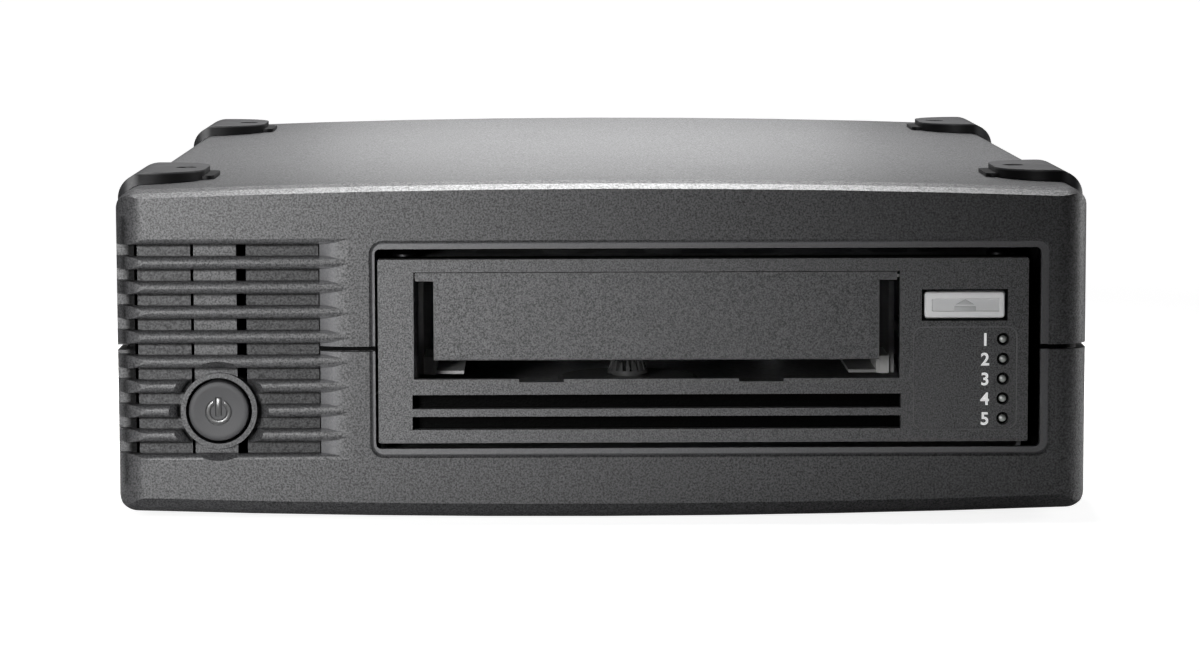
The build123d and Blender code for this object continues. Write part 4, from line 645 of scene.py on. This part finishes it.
class CaseSettings(bpy.types.PropertyGroup):
    colour: bpy.props.FloatVectorProperty(
        name="Case colour", description="Colour of the two shells", subtype="COLOR", size=3,
        default=(0.036, 0.036, 0.0375), min=0, max=1)
    drive_colour: bpy.props.FloatVectorProperty(
        name="Drive front colour", description="Colour of the drive's bezel and door", subtype="COLOR",
        size=3, default=(0.06, 0.06, 0.062), min=0, max=1)
    grain: bpy.props.FloatProperty(
        name="Grain", description="Size of the pebbles, in millimetres", default=0.54, min=0.2, max=2)
    pad_colour: bpy.props.FloatVectorProperty(
        name="Pad colour", description="Colour of the corner pads and feet", subtype="COLOR", size=3,
        default=(0.012, 0.012, 0.013), min=0, max=1)


class MarkSettings(bpy.types.PropertyGroup):
    print_colour: bpy.props.FloatVectorProperty(
        name="Print colour", description="Colour of the lamp numbers", subtype="COLOR", size=3,
        default=(0.98, 0.98, 0.98), min=0, max=1)
    number_height: bpy.props.FloatProperty(
        name="Number height", description="Height of the lamp numbers, in millimetres",
        default=2.8, min=1, max=4)


class StudioSettings(bpy.types.PropertyGroup):
    key_power: bpy.props.FloatProperty(
        name="Key light", description="Power of the softbox on the left",
        default=0.45, min=0, subtype="POWER")
    top_power: bpy.props.FloatProperty(
        name="Top light", description="Power of the softbox overhead",
        default=1.45, min=0, subtype="POWER")
    back_power: bpy.props.FloatProperty(
        name="Back light", description="Power of the softbox that grazes the top",
        default=0.03, min=0, subtype="POWER")
    rim_power: bpy.props.FloatProperty(
        name="Rim light", description="Power of the softbox on the right",
        default=0.12, min=0, subtype="POWER")
    ambient: bpy.props.FloatProperty(
        name="Ambient", description="Strength of the plain light from all round",
        default=0.05, min=0, max=1)
    backdrop: bpy.props.FloatProperty(
        name="Backdrop", description="Strength of the white backdrop in reflections",
        default=0.2, min=0, max=2)


# Pieces


class TAPE_OT_case(bpy.types.Operator):
    """Finish the shells, the light trap, the pads and the feet"""
    bl_idname = "tape.case"
    bl_label = "Case"

    def execute(self, context):
        settings = context.scene.tape_case
        dress(case_moulding(settings.colour, settings.grain), *CASE)
        dress(trap_moulding(settings.colour, settings.grain), "vent_baffle")
        dress(rubber("pad_rubber", settings.pad_colour), *PADS)
        return {"FINISHED"}


class TAPE_OT_power(bpy.types.Operator):
    """Finish the power button, its spring and its switch, and add its standby sign"""
    bl_idname = "tape.power"
    bl_label = "Power button"

    def execute(self, context):
        moulding = satin("button_moulding", (0.035, 0.035, 0.037), 0.6)
        dress(moulding, "power_button")
        dress(satin("switch_moulding", (0.03, 0.03, 0.03), 0.5), "power_switch")
        wire = brushed("spring_wire", (0.62, 0.62, 0.63), 0.3, (ACROSS, ACROSS, ACROSS))
        dress(wire, "power_spring")
        low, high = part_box("power_button")
        x = (low.x + high.x) / 2
        z = (low.z + high.z) / 2 - 0.2 * MM
        before, sunk = low.y - 0.1 * MM, low.y + 0.22 * MM
        cap = copy_node("power_button")
        groove = self.standby_sign(x, before, z, outer=3.05, inner=1.75, width=1.6, height=4.4, depth=0.8)
        for cutter in groove:
            carve(cap, cutter)
        bevel_edges(cap, 0.06, 30)
        settle(cap, "power_cap", "power_button", moulding)
        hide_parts("power_button")
        parts = self.standby_sign(x, sunk, z, outer=2.8, inner=2.0, width=1.05, height=3.9, depth=0.48)
        sign = join(parts)
        bevel_edges(sign, 0.12, 30)
        gloss = satin("power_sign_moulding", (0.05, 0.05, 0.05), 0.26)
        settle(sign, "power_sign", "power_button", gloss)
        self.coil(wire)
        return {"FINISHED"}

    def coil(self, wire):
        """The button's spring, as a smoothed copy of its node."""
        coil = copy_node("power_spring")
        coil.name = coil.data.name = "power_coil"
        coil.data.materials.clear()
        coil.data.materials.append(wire)
        smooth(coil, 70)
        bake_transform(coil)
        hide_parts("power_spring")

    def standby_sign(self, x, y, z, outer, inner, width, height, depth):
        """The sign's open ring and its bar, with their fronts at y; the sizes are in millimetres."""
        bar_up = 1.2 * MM
        ring = self.ring(x, y, z, outer, inner, depth)
        return ring, self.bar(x, y, z + bar_up, width, height, depth)

    def ring(self, x, y, z, outer, inner, depth):
        """Ring with a gap at its top."""
        bpy.ops.mesh.primitive_circle_add(vertices=96, radius=outer * MM, fill_type="NGON",
                                          location=(x, y, z), rotation=(pi / 2, 0, 0))
        ring = bpy.context.object
        fix()
        bpy.ops.object.mode_set(mode="EDIT")
        bpy.ops.mesh.inset(thickness=(outer - inner) * MM)  # leaves the inner disc selected
        bpy.ops.mesh.delete(type="FACE")
        bpy.ops.mesh.select_all(action="SELECT")
        bpy.ops.mesh.extrude_region_move(TRANSFORM_OT_translate={"value": (0, depth * MM, 0)})
        bpy.ops.mesh.select_all(action="SELECT")
        bpy.ops.mesh.normals_make_consistent(inside=False)
        bpy.ops.object.mode_set(mode="OBJECT")
        gap = self.bar(x, y - 1 * MM, z + outer * MM, width=2.4, height=2.8, depth=4)
        carve(ring, gap)
        return ring

    def bar(self, x, y, z, width, height, depth):
        """Upright bar."""
        return block((x, y + depth / 2 * MM, z), (width * MM, depth * MM, height * MM))


class TAPE_OT_drive_front(bpy.types.Operator):
    """Finish the drive's bezel, door, eject button, lamps and hinge pin"""
    bl_idname = "tape.drive_front"
    bl_label = "Drive front"

    def execute(self, context):
        settings = context.scene.tape_case
        grain_share = 0.8
        bezel = bezel_moulding(settings.drive_colour, settings.grain * grain_share)
        dress(bezel, "drive_bezel", "cartridge_door")
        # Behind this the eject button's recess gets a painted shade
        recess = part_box("eject_button")[0].y + 0.2 * MM
        dress(satin("eject_moulding", (0.98, 0.985, 0.99), 0.4, recess), "eject_button")
        dress(lens("lamp_lens", (0.22, 0.23, 0.22)), "status_lenses")
        steel = brushed("pin_steel", (0.6, 0.6, 0.6), 0.3, (20, ACROSS, ACROSS))
        dress(steel, "door_hinge_pin")
        return {"FINISHED"}


class TAPE_OT_marks(bpy.types.Operator):
    """Print the lamp numbers and add the eject sign"""
    bl_idname = "tape.marks"
    bl_label = "Markings"

    def execute(self, context):
        settings = context.scene.tape_marks
        height = settings.number_height * MM
        lines = []
        for index in range(LAMP_COUNT):
            foot = LAMP_TOP - LAMP_PITCH * index - height / 2
            lines.append(printed_text(str(index + 1), NUMBER_RIGHT, NUMBER_DEPTH, foot, height))
        paint = ink("number_ink", settings.print_colour)
        settle(join(lines), "lamp_numbers", "enclosure", paint)
        self.eject_sign()
        return {"FINISHED"}

    def eject_sign(self):
        """Raised triangle over a bar, in the recess of the eject button."""
        low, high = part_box("eject_button")
        x = (low.x + high.x) / 2 + 0.1 * MM
        z = (low.z + high.z) / 2
        rise = 0.2 * MM
        y = low.y + 0.34 * MM - rise / 2
        triangle_width, triangle_height, triangle_top = 4.4 * MM, 1.25 * MM, 1.3 * MM
        bar_width, bar_height, bar_down = 4.9 * MM, 1.1 * MM, 0.9 * MM
        bpy.ops.mesh.primitive_cone_add(vertices=3, radius1=1, radius2=0.9, depth=1, rotation=(pi / 2, 0, 0))
        triangle = bpy.context.object
        fix()
        corners = [point.co for point in triangle.data.vertices]
        width = max(corner.x for corner in corners) - min(corner.x for corner in corners)
        height = max(corner.z for corner in corners) - min(corner.z for corner in corners)
        triangle.scale = (triangle_width / width, rise, triangle_height / height)
        fix()
        top = max(point.co.z for point in triangle.data.vertices)
        triangle.location = (x, y, z + triangle_top - top)
        fix()
        sign = join([triangle, block((x, y, z - bar_down), (bar_width, rise, bar_height))])
        bevel_edges(sign, 0.05, 40)
        moulding = satin("sign_moulding", (0.56, 0.565, 0.57), 0.42)
        settle(sign, "eject_sign", "eject_button", moulding)


class TAPE_OT_loader(bpy.types.Operator):
    """Finish the tray, its guides, the cam slider, the plates, the gears and the motors"""
    bl_idname = "tape.loader"
    bl_label = "Loader"

    def execute(self, context):
        dress(satin("tray_moulding", (0.42, 0.42, 0.42), 0.45), "cartridge_tray")
        dress(satin("shoe_moulding", (0.92, 0.92, 0.9), 0.42), "guide_shoes")
        sheet = brushed("slide_sheet", (0.6, 0.6, 0.6), 0.36, (ACROSS, ALONG, ACROSS))
        dress(sheet, "cam_slider", "guide_plates")
        nylon = satin("gear_nylon", (0.72, 0.7, 0.62), 0.4, Subsurface_Weight=0.1)
        dress(nylon, "load_gear", "motor_pinion")
        dress(brushed("motor_can", (0.55, 0.55, 0.56), 0.32, (ACROSS, ACROSS, 40)), *MOTORS)
        return {"FINISHED"}


class TAPE_OT_tape_path(bpy.types.Operator):
    """Finish the hub, the reel, the posts and rollers, the head, the castings and the windings"""
    bl_idname = "tape.tape_path"
    bl_label = "Tape path"

    def execute(self, context):
        dress(satin("hub_moulding", (0.16, 0.16, 0.16), 0.4), "drive_hub")
        dress(satin("reel_moulding", (0.03, 0.03, 0.032), 0.35), "take_up_reel")
        steel = brushed("turned_steel", (0.66, 0.66, 0.67), 0.25, (ACROSS, ACROSS, 60))
        dress(steel, "tape_posts", "tape_head", *ROLLERS)
        metal = cast("carriage_casting", (0.6, 0.6, 0.61), 0.42)
        dress(metal, "head_carriage", "drive_base", "supply_heat_sink")
        dress(wound("coil_wire", (0.72, 0.33, 0.12)), "voice_coil", "supply_transformer")
        return {"FINISHED"}


class TAPE_OT_inside(bpy.types.Operator):
    """Finish the sheet metal, the boards, the capacitors, the sockets and the fan"""
    bl_idname = "tape.inside"
    bl_label = "Inside"

    def execute(self, context):
        dress(spangle("zinc_sheet", (0.6, 0.61, 0.62)), "chassis_tray", "drive_lid")
        dress(solder_mask("board_mask", (0.02, 0.11, 0.05)), *BOARDS)
        sleeve = satin("capacitor_sleeve", (0.02, 0.025, 0.06), 0.3)
        dress(sleeve, "supply_capacitors", "port_tongues")
        socket = satin("socket_moulding", (0.02, 0.02, 0.02), 0.45)
        dress(socket, "drive_connector", "power_inlet", "fan_frame", "fan_rotor")
        return {"FINISHED"}


class TAPE_OT_rear(bpy.types.Operator):
    """Finish the rear panel, the ports, the blades and the screws"""
    bl_idname = "tape.rear"
    bl_label = "Rear"

    def execute(self, context):
        sheet = brushed("rear_sheet", (0.6, 0.6, 0.61), 0.4, (ALONG, ACROSS, ACROSS))
        dress(sheet, "rear_panel", "data_ports")
        brass = brushed("blade_brass", (0.72, 0.6, 0.34), 0.3, (ACROSS, 60, ACROSS))
        dress(brass, "inlet_pins")
        oxide = brushed("screw_oxide", (0.03, 0.03, 0.032), 0.4, (400, 400, 400))
        dress(oxide, "case_screws", "drive_screws", "fan_screws")
        self.crossed_screws(oxide)
        return {"FINISHED"}

    def crossed_screws(self, oxide):
        """The fan's four screws with a cross in each head."""
        head, narrow, long, deep = 2.8 * MM, 0.7 * MM, 3.4 * MM, 1.8 * MM
        low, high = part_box("fan_screws")
        screws = copy_node("fan_screws")
        for x in (low.x + head, high.x - head):
            for z in (low.z + head, high.z - head):
                for width, height in ((narrow, long), (long, narrow)):
                    carve(screws, block((x, high.y, z), (width, deep, height)))
        smooth(screws, 35)
        settle(screws, "fan_crossed_screws", "enclosure", oxide)
        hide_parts("fan_screws")


class TAPE_OT_studio(bpy.types.Operator):
    """Add the floor, the air, the lights and the camera"""
    bl_idname = "tape.studio"
    bl_label = "Studio"

    def execute(self, context):
        settings = context.scene.tape_studio
        self.floor()
        self.air(settings.ambient, settings.backdrop)
        for name in SOFTBOXES:
            self.softbox(name, getattr(settings, name + "_power"))
        self.camera()
        context.scene.view_settings.view_transform = "Standard"
        return {"FINISHED"}

    def floor(self):
        """Pale floor, which glows for the camera so that it runs into the white air, and keeps shadows."""
        level = -0.1 * MM
        bpy.ops.mesh.primitive_circle_add(vertices=64, radius=14, fill_type="NGON", location=(0, 0, level))
        floor = bpy.context.object
        floor.name = "studio_floor"
        material = bpy.data.materials.new("studio_paper")
        material.use_nodes = True
        floor.data.materials.append(material)
        paper = Nodes(material.node_tree)
        paper.tree.nodes.remove(paper.tree.nodes["Principled BSDF"])
        where = paper.add("ShaderNodeTexCoord", output="Object")
        distance = paper.add("ShaderNodeVectorMath", {"operation": "LENGTH"}, {0: where}, "Value")
        strength = distance.rise(0.2, 0.55, low=0.86, high=1.0) * paper.rays("Is Camera Ray")
        glow = paper.add("ShaderNodeEmission", {}, {"Strength": strength})
        grey = paper.add("ShaderNodeBsdfDiffuse", {}, {"Color": (0.5, 0.5, 0.5, 1)})
        both = paper.add("ShaderNodeAddShader", {}, {0: grey, 1: glow})
        paper.feed(paper.tree.nodes["Material Output"].inputs["Surface"], both)

    def air(self, ambient, backdrop):
        """White for the camera; for gloss and glass a backdrop behind and a dim room in front; else dim."""
        world = bpy.data.worlds.new("studio_air")
        world.use_nodes = True
        bpy.context.scene.world = world
        air = Nodes(world.node_tree)
        background = air.tree.nodes["Background"]
        where = air.add("ShaderNodeTexCoord", output="Generated")
        backward = air.add("ShaderNodeSeparateXYZ", {}, {0: where}, output="Y")
        room = backward.rise(-0.1, 0.45, low=ambient, high=backdrop)
        seen = air.rays("Is Camera Ray", "Is Glossy Ray", "Is Transmission Ray")
        strength = air.fade(air.rays("Is Camera Ray"), air.fade(seen, ambient, room), 1.0)
        air.feed(background.inputs["Color"], (1, 1, 1, 1))
        air.feed(background.inputs["Strength"], strength)

    def softbox(self, name, power):
        place, aim, size, spread = SOFTBOXES[name]
        bpy.ops.object.light_add(type="AREA", location=place)
        light = bpy.context.object
        light.name = name + "_softbox"
        light.data.shape = "RECTANGLE"
        light.data.size, light.data.size_y = size
        light.data.energy = power
        light.data.spread = radians(spread)
        light.rotation_mode = "QUATERNION"
        light.rotation_quaternion = (Vector(aim) - Vector(place)).to_track_quat("-Z", "Y")

    def camera(self):
        bpy.ops.object.camera_add()
        camera = bpy.context.object
        camera.name = "camera"
        turn = Matrix.Rotation(radians(CAMERA_TURN), 4, "Z")
        tilt = Matrix.Rotation(radians(90 - CAMERA_DOWN), 4, "X")
        roll = Matrix.Rotation(radians(CAMERA_ROLL), 4, "Z")
        camera.matrix_world = Matrix.Translation(CAMERA_PLACE) @ turn @ tilt @ roll
        camera.data.lens = LENS_MM
        camera.data.sensor_width = SENSOR_MM
        camera.data.clip_start = 0.01
        bpy.context.scene.camera = camera


class TAPE_PT_panel(bpy.types.Panel):
    """Lists the settings and the steps"""
    bl_idname = "TAPE_PT_panel"
    bl_label = "Tape drive"
    bl_space_type = "VIEW_3D"
    bl_region_type = "UI"
    bl_category = "Tape drive"

    def draw(self, context):
        for group in (context.scene.tape_case, context.scene.tape_marks, context.scene.tape_studio):
            box = self.layout.box()
            for name in group.__annotations__:
                box.prop(group, name)
        for step in STEPS:
            self.layout.operator(step.bl_idname)


STEPS = (TAPE_OT_case, TAPE_OT_power, TAPE_OT_drive_front, TAPE_OT_marks, TAPE_OT_loader,
         TAPE_OT_tape_path, TAPE_OT_inside, TAPE_OT_rear, TAPE_OT_studio)
CLASSES = (CaseSettings, MarkSettings, StudioSettings, *STEPS, TAPE_PT_panel)


def register():
    for item in CLASSES:
        bpy.utils.register_class(item)
    bpy.types.Scene.tape_case = bpy.props.PointerProperty(type=CaseSettings)
    bpy.types.Scene.tape_marks = bpy.props.PointerProperty(type=MarkSettings)
    bpy.types.Scene.tape_studio = bpy.props.PointerProperty(type=StudioSettings)


def unregister():
    del bpy.types.Scene.tape_studio
    del bpy.types.Scene.tape_marks
    del bpy.types.Scene.tape_case
    for item in reversed(CLASSES):
        bpy.utils.unregister_class(item)


def main():
    register()
    for step in STEPS:
        group, name = step.bl_idname.split(".")
        getattr(getattr(bpy.ops, group), name)()


if __name__ == "__main__":
    main()
